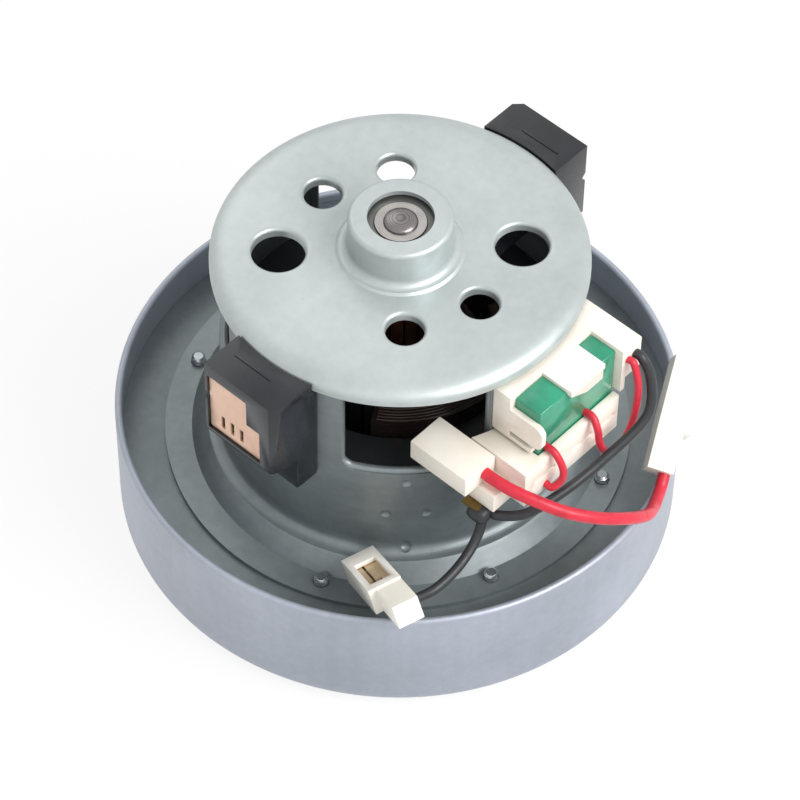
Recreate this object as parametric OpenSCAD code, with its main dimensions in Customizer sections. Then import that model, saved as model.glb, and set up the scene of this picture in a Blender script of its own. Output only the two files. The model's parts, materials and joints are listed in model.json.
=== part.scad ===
// Vacuum cleaner motor unit: a commutator motor on a one-stage fan, in millimetres.
// The axis is Z, the fan case stands on Z = 0, the brushes lie along X and the
// terminals are on the -Y side.

/* [Fan case] */
// Outer diameter of the fan case
case_d = 136; // [132:1:150]
// Height of the fan case, floor to rim
case_h = 33.3; // [32:0.1:38]
// Sheet thickness of the fan case
case_t = 1.2; // [0.8:0.1:1.5]
// Outside radius round the edge of the floor
case_edge_r = 5; // [3:0.5:7]
// Thickness of the rolled rim
rim_t = 1.8; // [1.6:0.1:2.4]
// Height of the rolled rim
rim_h = 2.4; // [2:0.1:4]
// Diameter of the air inlet in the floor
inlet_d = 38; // [34:1:40]
// Radius of the inlet's rounded mouth
inlet_round = 2; // [1.5:0.25:2.5]
// How far the inlet's lip reaches into the fan's eye
lip_overlap = 0.8; // [0.4:0.1:1.5]
// Depth of the bearing plate below the rim
ledge_depth = 11.3; // [10:0.1:12]

/* [Bearing plate and diffuser] */
// Sheet thickness of the bearing plate
plate_t = 1.2; // [1:0.1:1.6]
// Depth of the lower bearing's cup
cup_depth = 6.2; // [5.5:0.1:6.8]
// Number of air openings in the bearing plate
vent_count = 6; // [4:1:8]
// Inner radius of the air openings
vent_r0 = 17; // [16:0.5:20]
// Outer radius of the air openings
vent_r1 = 37; // [32:0.5:40]
// Width of the spokes between the air openings, in degrees
spoke_angle = 16; // [10:1:24]
// Thickness of the diffuser's disc
diffuser_t = 1.6; // [1.2:0.1:2.4]
// Height of the return passage above the diffuser's disc
return_h = 4.2; // [3.4:0.1:4.6]
// Gap for the air between the diffuser and the case wall
air_gap = 4; // [3:0.5:6]
// Number of diffuser vanes
vane_count = 16; // [8:8:16]
// Number of return vanes
return_vane_count = 8; // [8:8:8]
// Thickness of a diffuser vane
vane_t = 1.2; // [0.8:0.1:1.8]

/* [Motor frame] */
// Outer diameter of the motor frame's wall
can_d = 84.8; // [84:0.2:88]
// Sheet thickness of the motor frame
frame_t = 1.2; // [1:0.1:1.5]
// Diameter of the frame's flange
flange_d = 112.6; // [111:0.2:116]
// Diameter of the frame's raised shoulder
shoulder_d = 92.8; // [92:0.2:96]
// Height of the shoulder above the flange
shoulder_h = 4.1; // [3.5:0.1:5]
// Width of a window, in degrees
window_angle = 47; // [40:1:48]
// Angle from the brushes to the middle of a window
window_at = 48; // [46:0.5:49]
// Height of the window sill above the bearing plate
sill_h = 33.7; // [32:0.1:36]
// Corner radius of a window
window_r = 3; // [2:0.5:4]
// Width of the metal above a window
window_top = 1.2; // [0.8:0.1:2]
// Diameter of a staking dimple
dimple_d = 2.6; // [2:0.1:3]
// Depth of a staking dimple
dimple_depth = 0.6; // [0.4:0.1:0.8]
// Diameter of the circle of flange screws
screw_circle_d = 104; // [103.6:0.2:106]
// Diameter of a flange screw
screw_d = 3.5; // [3:0.1:3.8]
// Height of a screw's end above the flange
screw_end_h = 2; // [1.6:0.1:3]

/* [End cap] */
// Height of the end cap's top face above the bearing plate
cap_h = 64.3; // [64:0.1:68]
// Sheet thickness of the end cap
cap_t = 1.2; // [1:0.1:1.5]
// Outer diameter of the end cap
cap_d = 88; // [87.4:0.2:92]
// Width of the cap's rounded edge
cap_round_w = 6; // [5:0.5:8]
// Drop of the cap's rounded edge
cap_round_h = 2.8; // [2.4:0.1:3.4]
// Height of the cap's skirt below its rounded edge
skirt_h = 1.2; // [0.8:0.1:1.6]
// Height of the bearing boss above the cap
boss_h = 10.5; // [10:0.1:12]
// Radius at the foot of the bearing boss
boss_round = 2; // [1.5:0.1:2.5]
// Width of the raised ring round the boss's foot
ring_w = 0.8; // [0.7:0.1:2]
// Height of the raised ring round the boss's foot
ring_h = 0.5; // [0.2:0.1:0.8]
// Diameter of the two large cooling holes
big_hole_d = 12.6; // [11:0.1:13]
// Radius of the large cooling holes' circle
big_hole_at = 28; // [27.5:0.5:29]
// Diameter of the four small cooling holes
small_hole_d = 9; // [8:0.1:9.4]
// Radius of the small cooling holes' circle
small_hole_at = 24.5; // [24:0.5:28]
// Radius of a cooling hole's drawn-in lip
hole_round = 1; // [0.6:0.1:1]

/* [Bearings and shaft] */
// Outer diameter of a bearing
bearing_d = 22; // [21.5:0.25:22.5]
// Width of a bearing
bearing_w = 7; // [6.8:0.1:7.2]
// Diameter of the shaft in a bearing
shaft_d = 8; // [7.6:0.1:8.2]
// Diameter of the shaft between the bearings
shaft_mid_d = 10; // [9.4:0.1:11]
// Diameter of a bearing ball
ball_d = 3.97; // [3.8:0.01:4.1]
// Number of balls in a bearing
ball_count = 7; // [5:1:8]
// Diameter of the hole that shows the bearing
bearing_hole_d = 15.5; // [14:0.1:17]
// Thickness of the wave washer
washer_t = 0.6; // [0.4:0.1:0.8]

/* [Armature and field] */
// Height of the cores above the bearing plate
core_z = 7; // [6.6:0.1:7.4]
// Height of both laminated cores
core_h = 24; // [20:0.5:25]
// Diameter of the armature core
armature_d = 38.8; // [36:0.2:39]
// Air gap between the armature and the field
rotor_gap = 0.6; // [0.4:0.1:1]
// Number of armature slots and commutator bars
slot_count = 22; // [16:1:24]
// Width of an armature slot
slot_w = 2; // [1.4:0.1:2]
// Height of the armature winding's heads
winding_h = 5; // [3:0.1:5]
// Depth of the field slots, along the radius
coil_slot_d = 8; // [6:0.5:9]
// Half angle of a field slot, in degrees
coil_slot_angle = 54; // [48:1:56]
// Height of the field coils' heads
coil_head_h = 5; // [3:0.1:5]
// Diameter of the commutator
commutator_d = 23; // [21:0.2:24]
// Length of the commutator's bars
commutator_h = 14; // [12.5:0.5:15]
// Gap between two commutator bars
bar_gap = 0.5; // [0.3:0.1:0.7]

/* [Fan] */
// Diameter of the fan
fan_d = 96; // [90:1:97]
// Sheet thickness of the fan's discs
fan_t = 1; // [0.8:0.1:1.2]
// Height of the blades at the fan's eye
eye_h = 7; // [6:0.1:7.4]
// Height of the blades at the fan's edge
edge_h = 4; // [3:0.1:5]
// Number of fan blades
blade_count = 9; // [6:1:12]
// Thickness of a fan blade
blade_t = 0.9; // [0.6:0.1:1.2]
// Height of the fan's spacer under the bearing
spacer_h = 2.8; // [2.4:0.1:3.2]
// Width of the fan nut across its flats
nut_w = 13; // [12:0.5:15]
// Height of the fan nut
nut_h = 4; // [3.6:0.1:4.6]
// Thickness of the fan washer
fan_washer_t = 1.2; // [0.8:0.1:1.4]
// Diameter of the fan washer
fan_washer_d = 18; // [16:0.5:22]

/* [Brush gear] */
// Distance of a holder's outer face from the axis
holder_reach = 54.5; // [53.5:0.5:56]
// Width of a holder
holder_w = 21.9; // [20.5:0.2:23]
// Height of a holder's outer face below the end cap
holder_h = 20.4; // [20:0.2:22]
// Height of a holder's top above the foot of the end cap's skirt
holder_rise = 2.6; // [2:0.1:3]
// Length of the leg under a holder
holder_drop = 10; // [8:0.5:11]
// Width of the leg along the motor frame's wall
holder_leg_w = 8.8; // [8:0.2:10]
// Thickness of the leg
holder_leg_t = 5; // [4:0.2:6]
// Size of the cut along a holder's outer corner
holder_notch = 2; // [1.5:0.1:2.5]
// Taper of a holder's deep side between its top and its lower edge
holder_taper = 4.4; // [3.5:0.1:6]
// Width of a carbon brush
brush_w = 6.5; // [5.5:0.1:7]
// Height of a carbon brush
brush_h = 11; // [9:0.1:11.5]
// Length of a carbon brush
brush_l = 25; // [20:0.5:26]
// Wall of a brass brush tube
brush_tube_t = 0.8; // [0.6:0.1:1]
// Wall of the holder round its brush tube
stem_t = 1.6; // [1.2:0.1:2]
// Thickness of a holder's end plate
end_plate_t = 0.8; // [0.6:0.1:1]
// Depth of the end plate in its window
end_plate_depth = 0.6; // [0.3:0.1:1]
// Diameter of a brush spring's wire
spring_wire_d = 0.8; // [0.5:0.1:0.9]
// Outer diameter of a brush spring
spring_d = 5.6; // [5:0.1:6]
// Number of turns of a brush spring
spring_turns = 8; // [5:1:9]

/* [Terminals] */
// Depth of the terminal block in front of the frame
block_depth = 12.8; // [12.4:0.1:14]
// Left end of the terminal cover
cover_x0 = -13; // [-14:0.1:-12.8]
// Right end of the terminal cover
cover_x1 = 21; // [20.5:0.1:22]
// Height of the terminal cover
cover_h = 14; // [13.6:0.1:14.4]
// Wall of the terminal cover
cover_t = 1.5; // [1.2:0.1:1.8]
// Width of the cover's tongue over the cut-out
tongue_w = 11.6; // [10:0.2:13]
// Thickness of the cover's tongue
tongue_t = 1.6; // [1.2:0.1:2]
// Width of the thermal cut-out
cutout_w = 25.8; // [25:0.1:26.4]
// Depth of the thermal cut-out
cutout_d = 7.4; // [7:0.1:7.8]
// Height of the thermal cut-out
cutout_h = 16; // [15:0.1:16.4]
// Left end of the terminal housing
housing_x0 = -18; // [-18.5:0.1:-17.5]
// Right end of the terminal housing
housing_x1 = 14.5; // [13.5:0.1:15]
// Height of the terminal housing
housing_h = 11.5; // [11:0.1:12]
// Length of the coil connector
coil_plug_l = 17; // [16:0.5:18]
// Width of the coil connector
coil_plug_w = 10; // [9.4:0.1:10.4]
// Height of the coil connector
coil_plug_h = 6; // [5.6:0.1:6.4]

/* [Leads] */
// Diameter of the black lead
black_d = 2.4; // [2:0.1:2.6]
// Diameter of the red lead
red_d = 3; // [2.6:0.1:3.2]
// Diameter of a small red jumper
jumper_d = 1.8; // [1.4:0.1:2]
// Length of a lead plug
plug_l = 28; // [27:0.5:29]
// Width of a lead plug
plug_w = 8.4; // [8:0.1:9]
// Thickness of a lead plug
plug_t = 6.6; // [6.2:0.1:7]
// Wall of a lead plug
plug_wall = 1.2; // [0.9:0.1:1.5]

/* [Hidden] */
$fn = 96;
eps = 0.01;

// Clearances
press_gap = 0.03;
seat_gap = 0.15;
slide_gap = 0.1;
cover_gap = 0.3;
brush_gap = 0.1;

// Levels and radii that follow from the sizes above
case_r = case_d / 2;
inlet_r = inlet_d / 2;
ledge_z = case_h - ledge_depth;
plate_r = case_r - case_t - press_gap;
can_r = can_d / 2;
can_in_r = can_r - frame_t;
flange_r = flange_d / 2;
shoulder_r = shoulder_d / 2;
flange_z = ledge_z + frame_t;
shoulder_z = flange_z + shoulder_h;
screw_r = screw_d / 2;
screw_at = screw_circle_d / 2;
screw_hole_r = screw_r + slide_gap;
screw_angles = [22.5, 67.5, 112.5, 202.5, 247.5, 292.5];
cap_z = ledge_z + cap_h;
cap_r = cap_d / 2;
cap_edge_z = cap_z - cap_round_h;
skirt_z = cap_edge_z - skirt_h;
cap_flat_r = cap_r - cap_round_w;
boss_z = cap_z + boss_h;
bearing_r = bearing_d / 2;
boss_r = bearing_r + press_gap + cap_t;
bearing_hole_r = bearing_hole_d / 2;
shaft_r = shaft_d / 2;
shaft_mid_r = shaft_mid_d / 2;
lower_z = ledge_z - cup_depth;
upper_z = boss_z - cap_t - washer_t - bearing_w;

// Underside of the cap at a radius inside its rounded edge
function cap_under(r) = cap_edge_z + (cap_round_h - cap_t)
    * sqrt(1 - pow((r - cap_flat_r) / (cap_round_w - cap_t), 2));
can_top = cap_under(can_r) - seat_gap;
window_z0 = ledge_z + sill_h;
window_z1 = can_top - window_top;
window_angles = [window_at, 180 - window_at, 180 + window_at, -window_at];
dimple_angles = [45, 135, 225, 315];

core_z0 = ledge_z + core_z;
core_z1 = core_z0 + core_h;
armature_r = armature_d / 2;
field_in_r = armature_r + rotor_gap;
field_out_r = can_in_r - press_gap;
pole_tip_t = 1.6;
coil_slot_r0 = field_in_r + pole_tip_t;
coil_slot_r1 = coil_slot_r0 + coil_slot_d;
commutator_r = commutator_d / 2;

fan_r = fan_d / 2;
fan_top_z = lower_z - spacer_h;
blade_top_z = fan_top_z - fan_t;
blade_from = 4;
eye_z = blade_top_z - eye_h;
edge_z = blade_top_z - edge_h;
eye_r = inlet_r + case_t + 1.2;
lip_z = eye_z + lip_overlap;
fan_washer_z = blade_top_z - fan_washer_t;
nut_z = fan_washer_z - nut_h;
shaft_z0 = nut_z - 0.5;
shaft_z1 = boss_z - 0.4;

diffuser_r = plate_r - air_gap;
diffuser_z1 = ledge_z - plate_t - return_h;
diffuser_z0 = diffuser_z1 - diffuser_t;
screw_head_h = 1.8;
screw_head_r = 3;
screw_boss_r = 3.4;

holder_top = skirt_z - cover_gap;
crown_z = holder_top + holder_rise;
holder_z0 = holder_top - holder_h;
leg_z0 = holder_z0 - holder_drop;
holder_y0 = -0.44 * holder_w;
holder_y1 = 0.56 * holder_w;
brush_z = holder_top - holder_h / 2;
brush_x0 = commutator_r + brush_gap;
brush_x1 = brush_x0 + brush_l;
tube_w = brush_w + 2 * slide_gap;
tube_h = brush_h + 2 * slide_gap;
tube_x0 = commutator_r + 4;
plate_x1 = holder_reach - end_plate_depth;
plate_x0 = plate_x1 - end_plate_t;
stem_w = tube_w + 2 * brush_tube_t + 2 * stem_t;
stem_h = tube_h + 2 * brush_tube_t + 2 * stem_t;
stem_x0 = tube_x0 + 1.5;
spring_x0 = brush_x1 + slide_gap;

seat_r = can_r + seat_gap;
block_y = -(can_r + block_depth);
cover_top = skirt_z - 1.3;
cover_z0 = cover_top - cover_h;
cutout_x0 = cover_x0 + cover_t + slide_gap;
cutout_x1 = cutout_x0 + cutout_w;
cutout_y1 = block_y + 2.1 + cutout_d;
cutout_top = cover_top - 1;
cutout_z0 = cutout_top - cutout_h;
housing_top = cover_z0 - 1;
housing_z0 = housing_top - housing_h;
coil_plug_x0 = housing_x0 - 0.5 - coil_plug_w;
coil_plug_y1 = -29.5;
coil_plug_z0 = housing_top + 0.4 - coil_plug_h;
lobe_top = coil_plug_z0 - slide_gap;
lobe_x0 = housing_x0 - 6;

// Where the leads leave the terminals
red_socket = [coil_plug_x0 + 6.5, coil_plug_y1 - coil_plug_l, coil_plug_z0 + coil_plug_h / 2];
black_socket = [19, block_y, cover_top - 4];
jumper_socket = [16.4, block_y, cover_top - 4];
crimp_l = 3.4;
crimp_r = black_d / 2 + 0.5;
crimp_side = black_d / 2 + cover_gap / 2;
tab_at = [lobe_x0 + 0.3, -46, housing_z0 - 2.2];

// Where the lead plugs lie: place of the open end, then roll, tilt and turn
front_plug_at = [-41.3, -27.7, 26];
front_plug_turn = [8, -26.5, -114];
right_plug_at = [43.9, -53.9, case_h + 18.6];
right_plug_turn = [163, 26.5, -153.8];

// Points on an arc about c, from angle a0 to a1
function arc(c, rx, ry, a0, a1, n = 10) =
    [for (i = [0 : n]) let (a = a0 + (a1 - a0) * i / n) c + [rx * cos(a), ry * sin(a)]];

// Outline of a vane that turns by sweep degrees from radius r0 to r1
function vane_edge(r0, r1, sweep, side, n = 10) =
    [for (i = [0 : n]) let (r = r0 + (r1 - r0) * i / n, a = sweep * i / n + side / r * 180 / PI)
        r * [cos(a), sin(a)]];
function reversed(p) = [for (i = [len(p) - 1 : -1 : 0]) p[i]];
function vane(r0, r1, sweep, t) =
    concat(vane_edge(r0, r1, sweep, -t / 2), reversed(vane_edge(r0, r1, sweep, t / 2)));

// Smooth curve through the points of a route
function unit(v) = v / norm(v);
function spline(a, b, c, d, t) = 0.5 * (2 * b + (c - a) * t + (2 * a - 5 * b + 4 * c - d) * t * t
    + (3 * b - a - 3 * c + d) * t * t * t);
function smooth(p, steps) = let (n = len(p)) concat(
    [for (i = [0 : n - 2], s = [0 : steps - 1])
        spline(p[max(i - 1, 0)], p[i], p[i + 1], p[min(i + 2, n - 1)], s / steps)],
    [p[n - 1]]);
function directions(q, a, b) = let (n = len(q))
    [for (i = [0 : n - 1]) i == 0 ? unit(a) : i == n - 1 ? unit(b) : unit(q[i + 1] - q[i - 1])];
function square_to(v, d) = unit(v - (v * d) * d);
function carried(d) = let (n = len(d))
    [for (i = 0, s = square_to([0.3, 0.2, 1], d[0]); i < n;
        i = i + 1, s = square_to(s, d[min(i, n - 1)])) s];

// Round tube swept along points, with its ends square to a and b
module swept_tube(q, d, sides, a, b) {
    t = directions(q, a, b);
    s = carried(t);
    n = len(q);
    points = [for (i = [0 : n - 1], k = [0 : sides - 1]) let (w = 360 * k / sides)
        q[i] + d / 2 * (cos(w) * s[i] + sin(w) * cross(t[i], s[i]))];
    walls = [for (i = [0 : n - 2], k = [0 : sides - 1])
        let (u = i * sides + k, v = i * sides + (k + 1) % sides)
        each [[u, u + sides, v + sides], [u, v + sides, v]]];
    first = [for (k = [1 : sides - 2]) [0, k, k + 1]];
    last = [for (k = [1 : sides - 2]) let (o = (n - 1) * sides) [o, o + k + 1, o + k]];
    polyhedron(points, concat(walls, first, last));
}

// Wire along a route, its flats d apart
module cord(route, d, steps) {
    sides = 8;
    n = len(route);
    swept_tube(smooth(route, steps), d / cos(180 / sides), sides,
        route[1] - route[0], route[n - 1] - route[n - 2]);
}

// Ring with a rectangular section, or a part of one
module ring(r0, r1, z0, z1, from = 0, angle = 360) {
    rotate(from) rotate_extrude(angle = angle) translate([r0, z0]) square([r1 - r0, z1 - z0]);
}

module box(x0, x1, y0, y1, z0, z1) {
    translate([x0, y0, z0]) cube([x1 - x0, y1 - y0, z1 - z0]);
}

// Upright outline in Y and Z, drawn from x0 to x1
module along_x(x0, x1) {
    translate([x0, 0, 0]) rotate([90, 0, 90]) linear_extrude(x1 - x0) children();
}

// Room for the frame's wall in a piece that stands against it
module can_clear(z0, z1) {
    translate([0, 0, z0 - 1]) cylinder(r = seat_r, h = z1 - z0 + 2);
}

module rounded_rectangle(x0, x1, y0, y1, r) {
    translate([x0 + r, y0]) square([x1 - x0 - 2 * r, y1 - y0]);
    translate([x0, y0 + r]) square([x1 - x0, y1 - y0 - 2 * r]);
    for (x = [x0 + r, x1 - r], y = [y0 + r, y1 - r]) translate([x, y]) circle(r);
}

module fan_case() {
    in_r = case_r - case_t;
    rim_r = rim_t / 2;
    lip_r = inlet_r + case_t;
    color("#9aa5aa") rotate_extrude() polygon(concat(
        arc([inlet_r + inlet_round, inlet_round], inlet_round, inlet_round, 180, 270),
        arc([case_r - case_edge_r, case_edge_r], case_edge_r, case_edge_r, -90, 0),
        arc([case_r - rim_r, case_h - rim_r], rim_r, rim_r, 0, 180),
        [[case_r - rim_t, case_h - rim_h], [in_r, case_h - rim_h - 1]],
        reversed(arc([case_r - case_edge_r, case_edge_r],
            case_edge_r - case_t, case_edge_r - case_t, -90, 0)),
        [[lip_r, case_t], [lip_r, lip_z], [inlet_r, lip_z]]));
}

module diffuser() {
    vane_r0 = fan_r + 2.5;
    hub_r = bearing_r + plate_t + 1.5;
    root = diffuser_t / 2;
    vane_from = 10;
    color("#2b2d30") difference() {
        union() {
            ring(hub_r, diffuser_r, diffuser_z0, diffuser_z1);
            for (i = [0 : vane_count - 1]) rotate(vane_from + i * 360 / vane_count)
                translate([0, 0, case_t]) linear_extrude(diffuser_z0 - case_t + root)
                    polygon(vane(vane_r0, diffuser_r - 0.8, 14, vane_t));
            for (i = [0 : return_vane_count - 1]) rotate(i * 360 / return_vane_count)
                translate([0, 0, diffuser_z1 - root]) linear_extrude(return_h + root)
                    polygon(vane(hub_r + 8, diffuser_r - 2, -8, vane_t));
            for (a = screw_angles) rotate(a) translate([screw_at, 0, diffuser_z1 - root])
                cylinder(r = screw_boss_r, h = return_h + root);
        }
        for (a = screw_angles) rotate(a) translate([screw_at, 0, diffuser_z0 - 1])
            cylinder(r = screw_hole_r, h = diffuser_t + return_h + 2);
    }
}

module bearing_plate() {
    cup_r = bearing_r + press_gap;
    pitch = 360 / vent_count;
    color("#8d989d") difference() {
        rotate_extrude() polygon([
            [bearing_hole_r, lower_z - plate_t], [cup_r + plate_t, lower_z - plate_t],
            [cup_r + plate_t, ledge_z - plate_t], [plate_r, ledge_z - plate_t], [plate_r, ledge_z],
            [cup_r, ledge_z], [cup_r, lower_z], [bearing_hole_r, lower_z]]);
        for (i = [0 : vent_count - 1])
            ring(vent_r0, vent_r1, ledge_z - plate_t - 1, ledge_z + 1,
                i * pitch + spoke_angle / 2, pitch - spoke_angle);
        for (a = screw_angles) rotate(a) translate([screw_at, 0, ledge_z - plate_t - 1])
            cylinder(r = screw_hole_r, h = plate_t + 2);
    }
}

// Cut for one window, or for one brush holder's stem, through the frame's wall
module wall_cut(w, z0, z1, r) {
    along_x(can_in_r - 14, can_r + 4) rounded_rectangle(-w / 2, w / 2, z0, z1, r);
}

module motor_frame() {
    foot_r = shoulder_r + 3.4;
    corner = shoulder_r - can_r;
    stem_cut_w = stem_w + 2 * seat_gap;
    dimple_r = (pow(dimple_d / 2, 2) + pow(dimple_depth, 2)) / (2 * dimple_depth);
    dimples = [[0, window_z0 - 3.1], [-6.4, core_z0 + core_h / 2], [6.4, core_z0 + core_h / 2],
        [0, core_z0 + 0.5]];
    color("#8f9b9f") difference() {
        rotate_extrude() polygon(concat(
            [[flange_r, ledge_z], [flange_r, flange_z], [foot_r, flange_z],
                [shoulder_r, shoulder_z - 0.5], [shoulder_r - 0.5, shoulder_z]],
            reversed(arc([can_r + corner - 0.8, shoulder_z + corner - 0.8],
                corner - 0.8, corner - 0.8, 180, 270)),
            [[can_r, can_top], [can_in_r, can_top], [can_in_r, shoulder_z + 1],
                [can_in_r + 1.2, shoulder_z - frame_t + 0.3], [shoulder_r - 1.4, shoulder_z - frame_t - 0.2],
                [foot_r - 0.9, ledge_z]]));
        for (a = window_angles) rotate(a)
            wall_cut(2 * can_r * sin(window_angle / 2), window_z0, window_z1, window_r);
        for (a = [0, 180]) rotate(a)
            wall_cut(stem_cut_w, brush_z - stem_h / 2 - seat_gap, brush_z + stem_h / 2 + seat_gap, 0.5);
        for (a = screw_angles) rotate(a) translate([screw_at, 0, ledge_z - 1])
            cylinder(r = screw_hole_r, h = frame_t + shoulder_h);
        for (a = dimple_angles, p = dimples) rotate(a + p[0])
            translate([can_r + dimple_r - dimple_depth, 0, p[1]]) sphere(dimple_r);
    }
}

module frame_screws() {
    z1 = flange_z + screw_end_h;
    color("#c9ced1") for (a = screw_angles) rotate(a) translate([screw_at, 0, 0])
        rotate_extrude() polygon([[0, diffuser_z0 - screw_head_h],
            [screw_head_r - 0.6, diffuser_z0 - screw_head_h], [screw_head_r, diffuser_z0 - 1.2],
            [screw_head_r, diffuser_z0], [screw_r, diffuser_z0], [screw_r, z1 - 0.8],
            [screw_r - 0.8, z1], [0, z1]]);
}

// Cut for a cooling hole with a rounded mouth
module hole_cut(r) {
    rotate_extrude() polygon(concat([[0, cap_z - 4]], [[r, cap_z - 4]],
        reversed(arc([r + hole_round, cap_z - hole_round], hole_round, hole_round, 90, 180)),
        [[r + hole_round, cap_z + 1], [0, cap_z + 1]]));
}

// Drawn-in lip under a cooling hole, before the hole is cut
module hole_lip(r) {
    translate([0, 0, cap_z - 2 * cap_t]) cylinder(r = r, h = 1.5 * cap_t);
}

module at_cooling_holes(big) {
    angles = big ? [-45, 135] : [45, 90, 225, 270];
    for (a = angles) rotate(a) translate([big ? big_hole_at : small_hole_at, 0, 0]) children();
}

module end_cap() {
    ring_r = boss_r + boss_round + ring_w;
    in_r = bearing_r + press_gap;
    top_z = boss_z - cap_t;
    base_z = cap_z + ring_h;
    lip_t = 0.8;
    color("#c3cbcd") difference() {
        union() {
            rotate_extrude() polygon(concat(
                [[bearing_hole_r, top_z], [bearing_hole_r, boss_z]],
                arc([boss_r - 1.2, boss_z - 1.2], 1.2, 1.2, 90, 0),
                arc([boss_r + boss_round, base_z + boss_round], boss_round, boss_round, 180, 270),
                [[ring_r - 0.6, base_z], [ring_r, cap_z]],
                arc([cap_flat_r, cap_edge_z], cap_round_w, cap_round_h, 90, 0, 14),
                [[cap_r, skirt_z], [cap_r - cap_t, skirt_z]],
                arc([cap_flat_r, cap_edge_z], cap_round_w - cap_t, cap_round_h - cap_t, 0, 90, 14),
                [[ring_r - 0.4, cap_z - cap_t], [ring_r - 1, base_z - cap_t],
                    [in_r, base_z - cap_t], [in_r, top_z]]));
            at_cooling_holes(true) hole_lip(big_hole_d / 2 + lip_t);
            at_cooling_holes(false) hole_lip(small_hole_d / 2 + lip_t);
        }
        at_cooling_holes(true) hole_cut(big_hole_d / 2);
        at_cooling_holes(false) hole_cut(small_hole_d / 2);
    }
}

module field_core() {
    opening = coil_slot_angle * 0.55;
    color("#5d6163") difference() {
        ring(field_in_r, field_out_r, core_z0, core_z1);
        for (a = [0, 180]) rotate(a) {
            ring(coil_slot_r0, coil_slot_r1, core_z0 - 1, core_z1 + 1,
                -coil_slot_angle, 2 * coil_slot_angle);
            ring(field_in_r - 1, coil_slot_r0 + 0.5, core_z0 - 1, core_z1 + 1, -opening, 2 * opening);
        }
    }
}

// Saddle-shaped field coil round the pole on the +Y side
module field_coil() {
    gap = cover_gap;
    half = 90 - coil_slot_angle;
    inner = half + 0.6;
    outer = 90 - coil_slot_angle * 0.55;
    r0 = coil_slot_r0 + gap;
    r1 = coil_slot_r1 - gap;
    z0 = core_z0 - gap - coil_head_h;
    z1 = core_z1 + gap + coil_head_h;
    difference() {
        ring(r0, r1, z0, z1, 90 - outer, 2 * outer);
        ring(r0 - 1, r1 + 1, core_z0 - gap, core_z1 + gap, 90 - inner, 2 * inner);
    }
}

module field_coil_front() {
    color("#6a3a22") rotate(180) field_coil();
}

module field_coil_back() {
    color("#6a3a22") field_coil();
}

// Ball bearing, drawn with its lower face at z = 0
race_r = (bearing_r + shaft_r) / 2;
race_cut_r = ball_d / 2 + press_gap;
shoulder_out_r = race_r + 1.7;
shoulder_in_r = race_r - 1.5;

module bearing_outer() {
    rotate_extrude() difference() {
        translate([shoulder_out_r, 0]) square([bearing_r - shoulder_out_r, bearing_w]);
        translate([race_r, bearing_w / 2]) circle(race_cut_r);
    }
}

module bearing_inner() {
    rotate_extrude() difference() {
        translate([shaft_r + press_gap, 0]) square([shoulder_in_r - shaft_r - press_gap, bearing_w]);
        translate([race_r, bearing_w / 2]) circle(race_cut_r);
    }
}

module bearing_shields() {
    shield_t = 0.3;
    for (z = [shield_t, bearing_w - 2 * shield_t])
        ring(shoulder_in_r + 0.2, shoulder_out_r - press_gap, z, z + shield_t);
}

module at_balls() {
    for (i = [0 : ball_count - 1]) rotate(i * 360 / ball_count)
        translate([race_r, 0, bearing_w / 2]) children();
}

module bearing_balls() {
    at_balls() sphere(d = ball_d);
}

module bearing_cage() {
    mid = bearing_w / 2;
    difference() {
        ring(race_r - 0.6, race_r + 0.7, mid + 0.5, mid + ball_d / 2 + 0.6);
        at_balls() sphere(ball_d / 2 + 0.06);
    }
}

module lower_bearing_outer() {
    color("#b9bec2") translate([0, 0, lower_z]) bearing_outer();
}

module lower_bearing_shields() {
    color("#3a3d40") translate([0, 0, lower_z]) bearing_shields();
}

module lower_bearing_inner() {
    color("#c8cdd0") translate([0, 0, lower_z]) bearing_inner();
}

module lower_bearing_balls() {
    color("#d5d8da") translate([0, 0, lower_z]) bearing_balls();
}

module lower_bearing_cage() {
    color("#d8cfb8") translate([0, 0, lower_z]) bearing_cage();
}

module upper_bearing_outer() {
    color("#b9bec2") translate([0, 0, upper_z]) bearing_outer();
}

module upper_bearing_shields() {
    color("#3a3d40") translate([0, 0, upper_z]) bearing_shields();
}

module upper_bearing_inner() {
    color("#c8cdd0") translate([0, 0, upper_z]) bearing_inner();
}

module upper_bearing_balls() {
    color("#d5d8da") translate([0, 0, upper_z]) bearing_balls();
}

module upper_bearing_cage() {
    color("#d8cfb8") translate([0, 0, upper_z]) bearing_cage();
}

module wave_washer() {
    color("#aab0b4") ring(bearing_r - 1.6, bearing_r - 0.1, boss_z - cap_t - washer_t, boss_z - cap_t);
}

// Brush gear on the +X side

// Stepped window for the end plate, in Y and Z
module end_window(gap) {
    left = 0.925 * holder_y0 + gap;
    right = 0.59 * holder_y1 - gap;
    step = 0.27 * holder_y1 - gap;
    low = holder_z0 + 0.06 * holder_h + gap;
    mid = brush_z + 0.085 * holder_h - gap;
    top = crown_z - 0.17 * holder_h - gap;
    polygon([[left, low], [right, low], [right, mid], [step, mid], [step, top], [left, top]]);
}

module brush_channel(x0, x1, wall) {
    w = tube_w / 2 + wall;
    h = tube_h / 2 + wall;
    box(x0, x1, -w, w, brush_z - h, brush_z + h);
}

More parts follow.
